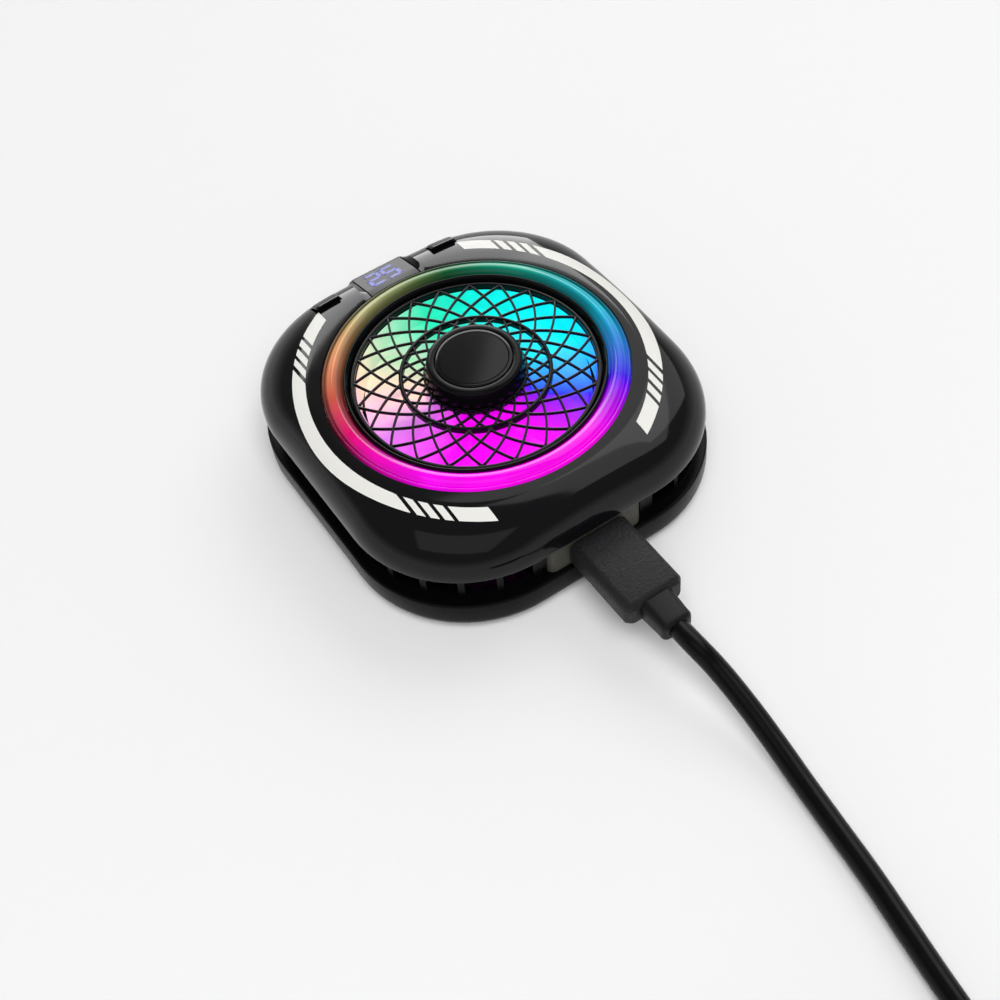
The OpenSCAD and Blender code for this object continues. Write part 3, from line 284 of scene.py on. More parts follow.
# %% Metals
def worked_metal(name, colour, gloss, line_mm, stretch, depth_mm):
    material, shader = new_finish(name, Base_Color=linear(colour), Metallic=1.0)
    squeeze = add_node(material, "Mapping", {"Vector": object_place(material), "Scale": (1, stretch, 1)})
    lines = add_node(material, "TexNoise", {"Vector": squeeze.outputs["Vector"],
                                            "Scale": 1 / (line_mm * mm), "Detail": 2.0})
    roughen(material, shader, lines, gloss, depth_mm)
    return material


# Rolled and anodised: a pale oxide with a soft sheen along its lines
anodised = worked_metal("anodised_aluminium", "#C3C6CA", (0.28, 0.4), 0.4, 0.1, 0.003)
# Dyed fins: the dark oxide keeps the vents quiet and still shows the metal between the blades
grey_anodised = worked_metal("grey_anodised_aluminium", "#3A3C40", (0.35, 0.5), 0.4, 0.1, 0.003)
# Plated shells are bright with a slight haze, and ground steel is duller and lined
nickel = worked_metal("nickel_plate", "#B9BABC", (0.2, 0.24), 0.2, 0.05, 0.0004)
ground_steel = worked_metal("ground_steel", "#A9ABAE", (0.25, 0.38), 0.3, 0.2, 0.003)
# Copper under clear enamel: warm and glossy, ridged by its windings
enamelled_copper = worked_metal("enamelled_copper", "#B5652B", (0.25, 0.35), 0.3, 0.1, 0.02)
# Pressed powders have no lines and stay dull
sintered_bronze = worked_metal("sintered_bronze", "#B08D57", (0.45, 0.6), 0.3, 1, 0.01)
bonded_ferrite = worked_metal("bonded_ferrite", "#4A4B50", (0.5, 0.65), 0.4, 1, 0.01)
print("metals and plastics:", len(bpy.data.materials))

# %% [markdown]
# The ring is a diffusing acrylic tube over twelve lamps, and the fan is milky polycarbonate that
# the same lamps light up. Both show a rainbow that goes round the axis. A radial gradient on
# Object coordinates gives the angle, and a colour ramp turns it to the hue at that place. The
# same ramp feeds the surface and its glow, so the glow holds its colour in any light. The glow
# of the fan is painted light: the lamps' light in its milky plastic is painted on as its own glow.

# %% Lit plastics
ring_hues = [
    (-180, "#E0056E"), (-140, "#F000E8"), (-75, "#F000DC"), (-42, "#3A08DC"), (-5, "#0AB4D0"),
    (40, "#10A486"), (70, "#0A6A34"), (110, "#A4A060"), (140, "#E08E5E"), (160, "#C05040"),
    (180, "#E0056E"),
]
fan_hues = [
    (-180, "#D070DC"), (-140, "#F404F2"), (-75, "#E80CEE"), (-42, "#3420F6"), (-24, "#3CA4FC"),
    (0, "#0CE6FA"), (60, "#14E4D4"), (85, "#30DCB0"), (120, "#C2D8B8"), (140, "#F4D8BA"),
    (160, "#F2B8D4"), (180, "#D070DC"),
]
streak_dim = 0.85


def set_stops(ramp, stops):
    elements = ramp.color_ramp.elements
    for i, (spot, colour) in enumerate(stops):
        stop = elements[i] if i < 2 else elements.new(spot)
        stop.position, stop.color = spot, colour


def lit_plastic(name, hues, glow, gloss, streak_mm, tint):
    material, shader = new_finish(name, Emission_Strength=glow, Roughness=gloss, IOR=1.49,
                                  Specular_IOR_Level=0.25)
    place = object_place(material)
    angle = add_node(material, "TexGradient", {"Vector": place}, gradient_type="RADIAL")
    ramp = add_node(material, "ValToRGB", {"Fac": angle.outputs["Fac"]})
    set_stops(ramp, [(0.5 + turn / 360, linear(code)) for turn, code in hues])
    streak = add_node(material, "TexNoise", {"Vector": place, "Scale": 1 / (streak_mm * mm),
                                             "Detail": 1.0})
    shade = add_node(material, "MapRange", {"Value": streak.outputs["Fac"], "From Min": noise_span[0],
                                            "From Max": noise_span[1], "To Min": streak_dim,
                                            "To Max": 1.0})
    glow_colour = add_node(material, "VectorMath", {0: ramp.outputs["Color"],
                                                    1: shade.outputs["Result"]}, operation="MULTIPLY")
    body_colour = add_node(material, "VectorMath", {0: ramp.outputs["Color"], 1: (tint, tint, tint)},
                           operation="MULTIPLY")
    link(material, body_colour.outputs["Vector"], shader, "Base Color")
    link(material, glow_colour.outputs["Vector"], shader, "Emission Color")
    return material, shader, glow_colour


# Milky polycarbonate spreads the light evenly, painted here as the fan's own glow, and polished acrylic
# adds clear highlights to it
milky_painted_glow = lit_plastic("milky_polycarbonate_painted_glow", fan_hues, 0.9, 0.35, 4, 0.5)[0]
ring_acrylic, ring_shader, ring_glow = lit_plastic("lit_diffusing_acrylic", ring_hues, 1.05, 0.06, 5,
                                                   0.12)
print("hues round the ring:", len(ring_hues), "and round the fan:", len(fan_hues))

# %% [markdown]
# The ring doesn't glow evenly across its width. Its crown is bright, and its flanks, where one
# looks along the clear acrylic and past the lamps, stay dark. That shows most on the far side,
# which the lamps light least, and hardly at all on the near side. So the glow is scaled by a
# ramp over the distance from the axis, and the ramp counts for more the further back a point is.

# %% Glow across the ring
glow_in, glow_out = 22.0 * mm, 25.4 * mm
crown_levels = ((0, 0.05), (1, 0.02), (0.22, 0.25), (0.45, 1), (0.66, 0.9), (0.84, 0.16))
near_y, far_y, near_share, far_share = -18 * mm, 0, 0.08, 0.95

ring_spot = object_place(ring_acrylic)
flat_spot = add_node(ring_acrylic, "VectorMath", {0: ring_spot, 1: (1, 1, 0)}, operation="MULTIPLY")
ring_radius = add_node(ring_acrylic, "VectorMath", {0: flat_spot.outputs["Vector"]}, operation="LENGTH")
across_ring = add_node(ring_acrylic, "MapRange", {"Value": ring_radius.outputs["Value"],
                                                  "From Min": glow_in, "From Max": glow_out})
crown_light = add_node(ring_acrylic, "ValToRGB", {"Fac": across_ring.outputs["Result"]})
set_stops(crown_light, [(spot, (level, level, level, 1)) for spot, level in crown_levels])
ring_depth = add_node(ring_acrylic, "SeparateXYZ", {"Vector": ring_spot}).outputs["Y"]
share = add_node(ring_acrylic, "MapRange", {"Value": ring_depth, "From Min": near_y, "From Max": far_y,
                                            "To Min": near_share, "To Max": far_share})
even = add_node(ring_acrylic, "Mix", {"Factor": share.outputs["Result"], "A": 1.0,
                                      "B": crown_light.outputs["Color"]})
lit_crown = add_node(ring_acrylic, "VectorMath", {0: ring_glow.outputs["Vector"],
                                                  1: even.outputs["Result"]}, operation="MULTIPLY")
link(ring_acrylic, lit_crown.outputs["Vector"], ring_shader, "Emission Color")
print("glow stops across the ring:", len(crown_levels))

# %% [markdown]
# Three moves make nearly all the shapes: a ring of points pulled through rows of places, as one
# does by extruding a loop of edges again and again; a profile spun round the axis, as on a
# lathe; and a solid cut by another. Each point of a ring keeps its number while the ring is
# extruded, so every row can be put at exact places. What comes out is closed, its doubles are
# merged and its faces turned outwards.

# %% Modelling helpers
def begin():
    if bpy.context.mode != "OBJECT":
        bpy.ops.object.mode_set(mode="OBJECT")
    bpy.ops.object.select_all(action="DESELECT")


def pick(piece):
    begin()
    piece.select_set(True)
    bpy.context.view_layer.objects.active = piece


def edit_all(piece):
    pick(piece)
    bpy.ops.object.mode_set(mode="EDIT")
    bpy.ops.mesh.select_all(action="SELECT")


def put_selected(piece, row):
    mesh = bmesh.from_edit_mesh(piece.data)
    number = mesh.verts.layers.int["number"]
    for vert in mesh.verts:
        if vert.select:
            vert.co = Vector(row[vert[number]]) * mm
    bmesh.update_edit_mesh(piece.data)


def ring_of_points(name, row):
    begin()
    bpy.ops.mesh.primitive_circle_add(vertices=len(row))
    piece = bpy.context.active_object
    piece.name = piece.data.name = name
    numbers = piece.data.attributes.new("number", "INT", "POINT")
    numbers.data.foreach_set("value", range(len(row)))
    bpy.ops.object.mode_set(mode="EDIT")
    bpy.ops.mesh.select_all(action="SELECT")
    put_selected(piece, row)
    return piece


def close_up(piece, fill):
    bpy.ops.mesh.select_all(action="SELECT")
    bpy.ops.mesh.remove_doubles(threshold=0.001 * mm)
    if fill:
        bpy.ops.mesh.fill_holes(sides=0)
    bpy.ops.mesh.select_all(action="SELECT")
    bpy.ops.mesh.normals_make_consistent(inside=False)
    bpy.ops.object.mode_set(mode="OBJECT")
    piece.data.attributes.remove(piece.data.attributes["number"])
    return piece


def pulled(name, rows, fill=True):
    piece = ring_of_points(name, rows[0])
    for row in rows[1:]:
        bpy.ops.mesh.extrude_edges_indiv()
        put_selected(piece, row)
    return close_up(piece, fill)


def turned(name, profile, steps=160):
    piece = ring_of_points(name, [(r, 0, z) for r, z in profile])
    bpy.ops.mesh.spin(steps=steps, angle=2 * pi, center=(0, 0, 0), axis=(0, 0, 1))
    return close_up(piece, False)


def arc(centre, radius, first, last, steps):
    turns = [radians(first + (last - first) * i / steps) for i in range(steps + 1)]
    return [(centre[0] + radius * cos(a), centre[1] + radius * sin(a)) for a in turns]


print("points on an arc of 8 steps:", len(arc((0, 0), 1, 0, 90, 8)))

# %% [markdown]
# A finished piece is often a solid with others cut out of it, or several copies joined. Each copy
# has its own mesh, so its place goes into that mesh. Dressing a piece smooths its shading up to an
# angle, gives it its finish, puts it under the empty of the body it rides and hides the solids it stands
# for.

# %% Cutting, copying and dressing
def apply_modifier(piece, kind, **settings):
    made = piece.modifiers.new(kind.lower(), kind)
    for name, value in settings.items():
        setattr(made, name, value)
    pick(piece)
    bpy.ops.object.modifier_apply(modifier=made.name)


def cut(piece, *cutters):
    for cutter in cutters:
        apply_modifier(piece, "BOOLEAN", operation="DIFFERENCE", solver="EXACT", object=cutter)
        bpy.data.objects.remove(cutter)


def copy_of(piece, place=Matrix()):
    made = piece.copy()
    made.data = piece.data.copy()
    made.data.transform(place)
    bpy.context.collection.objects.link(made)
    return made


def joined(name, pieces):
    begin()
    for piece in pieces:
        piece.select_set(True)
    bpy.context.view_layer.objects.active = pieces[0]
    bpy.ops.object.join()
    pieces[0].name = pieces[0].data.name = name
    return pieces[0]


def dress(piece, body, finish, slot, *nodes, angle=32):
    pick(piece)
    bpy.ops.object.shade_smooth_by_angle(angle=radians(angle))
    piece.data.materials.clear()
    piece.data.materials.append(finish)
    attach(piece, body)
    if nodes:
        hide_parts(*nodes)
    print(piece.name, "faces:", len(piece.data.polygons))
    return piece


supply_cable.data.materials.append(cable_pvc)
print("lead dressed in", cable_pvc.name)

# %% [markdown]
# The cover is one moulding: a dome that swells from the light ring out to a rounded square rim.
# A subdivided box would round off its rim by guesswork. Here the level of the dome is a formula
# of how far a point lies between ring and rim, and the ring of points is pulled along it. On
# the far side the dome gives way to a flat slope for the display, with a short ramp at both its
# ends. There the rows run straight back instead of out from the axis, so the ramps stay crisp.

# %% Plan outline and dome level
body_w, body_l, corner_r = 64, 68, 21
corner_x, corner_y = body_w / 2 - corner_r, body_l / 2 - corner_r
quarters = ((1, 1), (-1, 1), (-1, -1), (1, -1))
arc_steps = 40
side_steps = (44, 20, 20, 20)
hole_r, ring_z, lip_z, cover_low, wall = 25.6, 19.7, 12.5, 13.0, 2.0
dome_power = 2.6
face_half, face_ramp, face_keep = 5.0, 1.0, 6.5
face_in, face_out = (25.7, 19.7), (32.6, 17.7)


def corner_point(q, turn, inset):
    sx, sy = quarters[q % 4]
    a = pi / 2 * (q + turn)
    return (sx * corner_x + (corner_r - inset) * cos(a), sy * corner_y + (corner_r - inset) * sin(a))


def outline(inset=0):
    points = []
    for q in range(4):
        points += [corner_point(q, i / arc_steps, inset) for i in range(arc_steps + 1)]
        a, b = Vector(points[-1]), Vector(corner_point(q + 1, 0, inset))
        points += [tuple(a.lerp(b, i / side_steps[q])) for i in range(1, side_steps[q])]
    return points


def reach(x, y):
    dx, dy = abs(x) / hypot(x, y), abs(y) / hypot(x, y)
    if dy * body_w / 2 <= corner_y * dx:
        return body_w / 2 / dx
    if dx * body_l / 2 <= corner_x * dy:
        return body_l / 2 / dy
    along = corner_x * dx + corner_y * dy
    return along + sqrt(along ** 2 - corner_x ** 2 - corner_y ** 2 + corner_r ** 2)


def dome(t, low, high):
    return low + (high - low) * sqrt(max(0, 1 - min(1, max(0, t)) ** dome_power))


def face_level(y):
    if y > face_out[0]:
        roll = min(1, (y - face_out[0]) / (body_l / 2 - face_out[0]))
        return cover_low + (face_out[1] - cover_low) * sqrt(1 - roll ** 2)
    share = max(0, (y - face_in[0]) / (face_out[0] - face_in[0]))
    return face_in[1] + share * (face_out[1] - face_in[1])


def cover_level(x, y):
    level = dome((hypot(x, y) - hole_r) / (reach(x, y) - hole_r), cover_low, ring_z)
    if y <= 0:
        return level
    flat = 1 - min(1, max(0, (abs(x) - face_half) / face_ramp))
    return level + flat * (face_level(y) - level)


print("cover level over a stripe:", round(cover_level(28.5, 0), 2), "mm")

# %% Front cover
dome_rows = 24
inner_rows = 8
lip_round = 0.3
hole_wall, hole_turn, hole_soft = 1.2, 0.3, 0.08


def hole_point(rim):
    x, y = rim
    if y <= 0 or abs(x) > corner_x:
        return hole_r * x / hypot(x, y), hole_r * y / hypot(x, y)
    last = hole_r * corner_x / hypot(corner_x, y)
    spread = (last - face_keep) / (corner_x - face_keep)
    across = min(abs(x), face_keep) + max(0, abs(x) - face_keep) * spread
    return copysign(across, x), sqrt(hole_r ** 2 - across ** 2)


def between(rim, share):
    return tuple((1 - share) * a + share * b for a, b in zip(hole_point(rim), rim))


def hole_row(r, drop):
    rows = [(x * r / hole_r, y * r / hole_r) for x, y in map(hole_point, outline())]
    return [(x, y, cover_level(x, y) - drop) for x, y in rows]


def flat_row(inset, z):
    return [(x, y, z) for x, y in outline(inset)]


cover_rows = [hole_row(hole_r, hole_wall), hole_row(hole_r, hole_turn),
              hole_row(hole_r + hole_soft, hole_soft)]
for i in range(2, dome_rows + 1):
    share = 1 - (1 - i / dome_rows) ** 2
    places = [between(rim, share) for rim in outline()]
    cover_rows.append([(x, y, cover_level(x, y)) for x, y in places])
cover_rows += [flat_row(lip_round - c, lip_z + lip_round - s)
               for c, s in arc((0, 0), lip_round, 0, 90, 6)]
cover_rows.append(flat_row(wall, lip_z))
for i in range(1, inner_rows + 1):
    share = (1 - i / inner_rows) ** 2
    places = [between(rim, share) for rim in outline(wall)]
    level = dome(share, lip_z, ring_z - wall)
    cover_rows.append([(x, y, level) for x, y in places])
cover_rows.append(cover_rows[0])
front_cover = pulled("gloss_cover", cover_rows, fill=False)
print("cover rows:", len(cover_rows), "of", len(cover_rows[0]), "points")

# %% [markdown]
# The display window and the two buttons sit in openings of the cover. The window carries on the
# cover's own surface from the light ring to the rim, so it is taken out of a copy of the cover:
# a block keeps what is inside it, and a slightly wider block then clears the cover. That leaves
# the two thin dark seams that show beside the window. The buttons get openings the same way.

# %% Openings of the cover
display_w, window_low = 9.6, 14.6
button_x, button_y, button_l, button_w, button_foot = 11.8, 29.5, 4.7, 2.2, 16.3
button_rise = (0.9, 0.6)
seam, clear, rim_clear = 0.28, 3, 1
opening_low, opening_top = 12.8, 24


def block(name, low, high):
    begin()
    bpy.ops.mesh.primitive_cube_add(size=1)
    piece = bpy.context.active_object
    piece.name = piece.data.name = name
    for vert in piece.data.vertices:
        vert.co = Vector([(a if c < 0 else b) * mm for a, b, c in zip(low, high, vert.co)])
    return piece


def divide(piece, cuts):
    edit_all(piece)
    bpy.ops.mesh.subdivide(number_cuts=cuts)
    bpy.ops.object.mode_set(mode="OBJECT")


def window_block(name, gap):
    return block(name, (-display_w / 2 - gap, hole_r - clear, window_low - gap),
                 (display_w / 2 + gap, body_l / 2 + rim_clear, ring_z + clear))


display_window = copy_of(front_cover)
display_window.name = display_window.data.name = "smoked_window"
keeper = window_block("window_keeper", 0)
apply_modifier(display_window, "BOOLEAN", operation="INTERSECT", solver="EXACT", object=keeper)
bpy.data.objects.remove(keeper)
cut(front_cover, window_block("window_cutter", seam))
plunger_clear, plunger_back, plunger_top = 1.2, 31.2, 15.6
for side in (-1, 1):
    x, half_l, half_w = side * button_x, button_l / 2 + seam, button_w / 2 + seam
    cut(front_cover, block("button_cutter", (x - half_l, button_y - half_w, opening_low),
                           (x + half_l, button_y + half_w, opening_top)))
    # The plunger below reaches further back than the button, so the wall is relieved round it
    cut(front_cover, block("plunger_cutter", (x - plunger_clear, button_y, opening_low),
                           (x + plunger_clear, plunger_back, plunger_top)))
dress(front_cover, "cooler", gloss_abs, "gloss_black", "front_cover", angle=18)

# %% Display window
# Smoked acrylic: near black and clear, with a slight haze over the figures below it
smoked, smoked_shader = new_finish("smoked_acrylic", Base_Color=linear("#131318"), IOR=1.49,
                                    Specular_IOR_Level=0.1)
haze = add_node(smoked, "TexNoise", {"Vector": object_place(smoked), "Scale": 1 / (4 * mm)})
haze_range = add_node(smoked, "MapRange", {"Value": haze.outputs["Fac"], "To Min": 0.05, "To Max": 0.12})
link(smoked, haze_range.outputs["Result"], smoked_shader, "Roughness")
dress(display_window, "cooler", smoked, "display", "display_window")

# %% [markdown]
# The figures of the display glow blue-violet through the smoked window and look soft, because
# the lamps lie below it. They are common seven-bar figures. Each bar is a thin block with its
# ends bevelled, laid onto the window's surface point by point, and a wider, dimmer copy under it
# stands for the light that spreads.

# %% Display figures
def dimmed(colour, share):
    return [share * c for c in linear(colour)[:3]] + [1]


def glowing_print(name, colour, glow):
    material, shader = new_finish(name, Base_Color=dimmed(colour, 0.3), Roughness=0.3,
                                  Specular_IOR_Level=0.2, Emission_Strength=glow)
    spot = add_node(material, "TexNoise", {"Vector": object_place(material), "Scale": 1 / (1.2 * mm)})
    mix = add_node(material, "ValToRGB", {"Fac": spot.outputs["Fac"]})
    set_stops(mix, ((0, dimmed(colour, 0.6)), (1, linear(colour))))
    link(material, mix.outputs["Color"], shader, "Emission Color")
    return material


figure_w, figure_h, bar_w, figure_mid = 2.2, 3.7, 0.6, 29.6
bar_gap, bar_sink, bar_bevel, bar_cuts = 0.2, 0.05, 0.2, 5
bars = {"a": (0, 1, 0), "g": (0, 0, 0), "d": (0, -1, 0), "f": (-1, 0.5, 90), "b": (1, 0.5, 90),
        "e": (-1, -0.5, 90), "c": (1, -0.5, 90)}
figures = ((-1.9, "abged"), (1.3, "afgcd"))


def figure_bars(name, spread, height):
    made = []
    for x, lit in figures:
        for bar in lit:
            across, upward, turn = bars[bar]
            long = (figure_w if turn == 0 else figure_h / 2) - bar_gap
            half_l, half_w = (long + spread) / 2, (bar_w + spread) / 2
            piece = block(name, (-half_l, -half_w, -bar_sink), (half_l, half_w, height))
            apply_modifier(piece, "BEVEL", width=bar_bevel * (bar_w + spread) * mm, segments=2,
                           limit_method="NONE")
            divide(piece, bar_cuts)
            at = Vector((x + across * figure_w / 2, figure_mid + upward * figure_h / 2, 0)) * mm
            piece.data.transform(Matrix.Translation(at) @ Matrix.Rotation(radians(turn), 4, "Z"))
            for vert in piece.data.vertices:
                vert.co.z += cover_level(vert.co.x / mm, vert.co.y / mm) * mm
            made.append(piece)
    return joined(name, made)


figure_light = glowing_print("blue_violet_lamp", "#8286E4", 0.5)
figure_halo = glowing_print("blue_violet_spread", "#4C4C98", 0.25)
dress(figure_bars("figure_halos", 0.55, 0.012), "cooler", figure_halo, "display")
dress(figure_bars("figures", 0, 0.03), "cooler", figure_light, "display")

# %% [markdown]
# The two buttons are low wedges: a thumb-nail wall towards the ring, and a top that slopes down
# with the cover behind. A plain box would stand wrong on the dome. The box is subdivided, its
# top points are lifted to the level of the cover plus their share of the rise, and the edges
# are then bevelled.

# %% Buttons
button_cuts, button_soft = 5, 0.3


def button(name, side):
    x = side * button_x
    piece = block(name, (x - button_l / 2, button_y - button_w / 2, button_foot),
                  (x + button_l / 2, button_y + button_w / 2, button_foot + 1))
    divide(piece, button_cuts)
    for vert in piece.data.vertices:
        px, py, pz = vert.co / mm
        share = pz - button_foot
        back = (py - button_y) / button_w + 0.5
        top = cover_level(px, py) + button_rise[0] + back * (button_rise[1] - button_rise[0])
        vert.co.z = (button_foot + share * (top - button_foot)) * mm
    apply_modifier(piece, "BEVEL", width=button_soft * mm, segments=3, limit_method="ANGLE",
                   angle_limit=radians(40))
    return piece


dress(button("power_bar", -1), "power_key", gloss_abs, "gloss_black", "power_button")
dress(button("mode_bar", 1), "mode_key", gloss_abs, "gloss_black", "mode_button")

# %% [markdown]
# The white stripes are printed on the dome: an oval band with straight breaks, so that each
# side has one long band, three short bars and an end block, the same in all four corners. A
# texture could paint them, but thin patches laid on the dome keep sharp edges at any distance.
# A flat grid is mapped to each patch and dropped onto the cover, then given a hair of thickness.

# %% Stripes
oval_in = (27.75, 29.2)
oval_out = (29.9, 31.8)
band_from = 24.1
bar_spans = ((22.6, 23.5), (21.1, 22.1), (19.5, 20.55), (14.05, 18.95))
band_share = 0.995
ink_t = 0.04


def oval_y(oval, x):
    return oval[1] * sqrt(max(0, 1 - (x / oval[0]) ** 2))


def oval_x(oval, y):
    return oval[0] * sqrt(max(0, 1 - (y / oval[1]) ** 2))


def printed_patch(place_of, across, along):
    begin()
    bpy.ops.mesh.primitive_grid_add(x_subdivisions=across, y_subdivisions=along, size=1)
    piece = bpy.context.active_object
    for vert in piece.data.vertices:
        x, y = place_of(vert.co.x + 0.5, vert.co.y + 0.5)
        vert.co = Vector((x, y, cover_level(x, y) + ink_t / 2)) * mm
    edit_all(piece)
    bpy.ops.mesh.normals_make_consistent(inside=False)
    if piece.data.polygons[0].normal.z < 0:
        bpy.ops.mesh.flip_normals()
    bpy.ops.object.mode_set(mode="OBJECT")
    apply_modifier(piece, "SOLIDIFY", thickness=ink_t * mm, offset=-1)
    return piece


patches = []
band_end = band_share * oval_y(oval_out, band_from)
for sx in (-1, 1):
    def long_band(u, v, sx=sx):
        y = band_end * (2 * v - 1)
        inner = max(band_from, oval_x(oval_in, y))
        return sx * (inner + u * (oval_x(oval_out, y) - inner)), y

    patches.append(printed_patch(long_band, 6, 72))
    for sy in (-1, 1):
        for low, high in bar_spans:
            def short_bar(u, v, sx=sx, sy=sy, low=low, high=high):
                x = low + u * (high - low)
                inner = oval_y(oval_in, x)
                return sx * x, sy * (inner + v * (oval_y(oval_out, x) - inner))

            patches.append(printed_patch(short_bar, max(2, ceil(4 * (high - low))), 8))
# Screen-printed ink: a warm white with a dull sheen
stripe_ink = moulded_plastic("satin_white_ink", "#E6E5E0", (0.3, 0.42), 1.5, 0.004, specular=0.15)
dress(joined("cover_stripes", patches), "cooler", stripe_ink, "gloss_black", angle=40)

# %% [markdown]
# The light ring is an acrylic moulding that sits over the lamps on two thin legs: a rounded crown
# and, along its outer edge, a thin bead that closes the seam to the cover and catches a line of
# light. A torus would give the crown alone, so the whole profile is drawn once, legs, bead and
# crown, and spun round the axis. The bezel inside it is part of the fan's duct: a tube with a
# seat for the grille, a sloped top edge and a flange at its foot.

# %% Light ring and bezel
ring_in, ring_out, ring_top, lamp_z, leg_w, leg_h = 22.0, 25.4, 20.5, 14.0, 0.8, 1.7
bead_r, bead_z, bead_gap, groove_z, crown_rise = 0.2, 19.65, 0.1, 19.2, 1.3
crown_out = ring_out - 2 * bead_r - bead_gap
crown_r, crown_mid = (crown_out - ring_in) / 2, (crown_out + ring_in) / 2
ring_profile = [(ring_in, lamp_z), (ring_in + leg_w, lamp_z), (ring_in + leg_w, lamp_z + leg_h),
                (ring_out - leg_w, lamp_z + leg_h), (ring_out - leg_w, lamp_z), (ring_out, lamp_z)]
ring_profile += arc((ring_out - bead_r, bead_z), bead_r, 0, 180, 8)
ring_profile.append((crown_out + bead_gap, groove_z))
ring_profile += [(crown_mid + crown_r * c, ring_top - crown_rise * (1 - s))
                 for c, s in arc((0, 0), 1, 0, 180, 24)]
light_ring = turned("light_ring_crown", ring_profile, 192)
dress(light_ring, "cooler", ring_acrylic, "light_ring", "light_ring", angle=40)

duct_r, duct_ro, duct_z, flange_r, flange_t = 20.0, 21.8, 12.2, 26.4, 1.0
seat_r, seat_z, bezel_low, bezel_top, bezel_round = 20.9, 18.2, 19.1, 20.1, 0.2
bezel_profile = [(duct_r, duct_z), (duct_r, seat_z), (seat_r, seat_z), (seat_r, bezel_low)]
bezel_profile += arc((duct_ro - bezel_round, bezel_top - bezel_round), bezel_round, 125, 0, 5)
bezel_profile += [(duct_ro, duct_z + flange_t), (flange_r, duct_z + flange_t), (flange_r, duct_z)]
dress(turned("bezel_duct", bezel_profile), "cooler", grille_abs, "satin_black", "fan_duct")

# %% [markdown]
# The grille is a net of lozenges that shrink towards the hub, held by a rim, a middle ring and a
# plate under the hub cap. Its lines are spirals that keep one angle to the radius, 24 each way.
# A poked and inset grid gives such a net too, but with straight lozenges. Here one rib is a
# narrow grid laid along the spiral, made solid and softened, and the others are copies of it,
# turned round the axis and mirrored for the other way.

# %% Lattice ribs
grille_z, grille_top, rib_w, rib_t, rib_n = 18.2, 19.2, 0.39, 0.5, 24
rim_reach, row_ratio, hub_reach, rib_soft = 20.2, 1.157, 8.5, 0.1
row_turn = radians(7.5)


def spiral_turn(r):
    return row_turn * log(rim_reach / r) / log(row_ratio)


begin()
bpy.ops.mesh.primitive_grid_add(x_subdivisions=28, y_subdivisions=1, size=1)
rib = bpy.context.active_object
for vert in rib.data.vertices:
    r = rim_reach * (hub_reach / rim_reach) ** (vert.co.x + 0.5)
    lean = atan2(row_turn, log(row_ratio))
    turn = pi / 2 + spiral_turn(r)
    side = vert.co.y * rib_w
    spot = Vector((r * cos(turn), r * sin(turn)))
    spot += side * Vector((cos(turn + pi / 2 - lean), sin(turn + pi / 2 - lean)))
    vert.co = Vector((*spot, grille_top)) * mm
apply_modifier(rib, "SOLIDIFY", thickness=rib_t * mm, offset=1)
apply_modifier(rib, "BEVEL", width=rib_soft * mm, segments=2, limit_method="ANGLE",
               angle_limit=radians(50))
ribs = []
for i in range(rib_n):
    for way in (1, -1):
        turn = Matrix.Rotation(2 * pi * i / rib_n, 4, "Z")
        ribs.append(copy_of(rib, turn @ Matrix.Diagonal((way, 1, 1, 1))))
bpy.data.objects.remove(rib)
net = joined("lattice_grille", ribs)
edit_all(net)
bpy.ops.mesh.normals_make_consistent(inside=False)
bpy.ops.object.mode_set(mode="OBJECT")
levels = [vert.co.z / mm for vert in net.data.vertices]
print("ribs:", 2 * rib_n, "net from", round(min(levels), 2), "to", round(max(levels), 2), "mm")

# %% Grille rings
def soft_ring(name, r_in, r_out, low, high, soft):
    return turned(name, [(r_in, low), (r_out, low)]
                  + arc((r_out - soft, high - soft), soft, 0, 90, 5)
                  + arc((r_in + soft, high - soft), soft, 90, 180, 5))


mid_r, mid_w, mid_rise, grille_r = 12.4, 0.75, 0.15, 20.8
hub_plate_r, stem_hole_r, rim_lap, rim_soft = 8.7, 2.7, 0.1, 0.2
grille_rim = soft_ring("grille_rim", rim_reach - rim_lap, grille_r, grille_z, grille_top, rim_soft)
middle_ring = soft_ring("middle_ring", mid_r - mid_w / 2, mid_r + mid_w / 2, grille_z,
                        grille_top + mid_rise, mid_w / 2)
hub_plate = soft_ring("hub_plate", stem_hole_r, hub_plate_r, grille_z, grille_top, rim_soft)
lattice = joined("lattice_grille", [net, grille_rim, middle_ring, hub_plate])
dress(lattice, "cooler", grille_abs, "grille_black", "fan_grille")

# %% [markdown]
# The hub cap is a low turned button with sides that draw in, a rounded shoulder and a shallow
# seat. A thin disc lies in the seat, and its top carries fine turned lines and one groove near
# its edge. The lines are concentric, so they come from a wave texture in rings, and the groove
# is in the profile itself.

# %% Hub cap and disc
cap_r, cap_draw, cap_low, cap_top, cap_soft = 8.4, 0.45, 19.3, 22.3, 0.7
disc_seat_r, disc_r, disc_low, disc_top, stem_r, stem_low = 6.5, 6.35, 21.5, 22.4, 2.5, 17.7
cap_edge, seat_soft, disc_soft = 0.15, 0.2, 0.18
shoulder = (cap_r - cap_draw - cap_soft, cap_top - cap_soft)
cap_profile = [(0, stem_low), (stem_r, stem_low), (stem_r, cap_low), (cap_r - cap_edge, cap_low),
               (cap_r, cap_low + cap_edge)]
cap_profile += arc(shoulder, cap_soft, 8, 90, 8)
cap_profile += arc((disc_seat_r + seat_soft, cap_top - seat_soft), seat_soft, 90, 180, 4)
cap_profile += [(disc_seat_r, disc_low), (0, disc_low)]
dress(turned("hub_button", cap_profile, 128), "cooler", hub_abs, "gloss_black", "hub_cap")

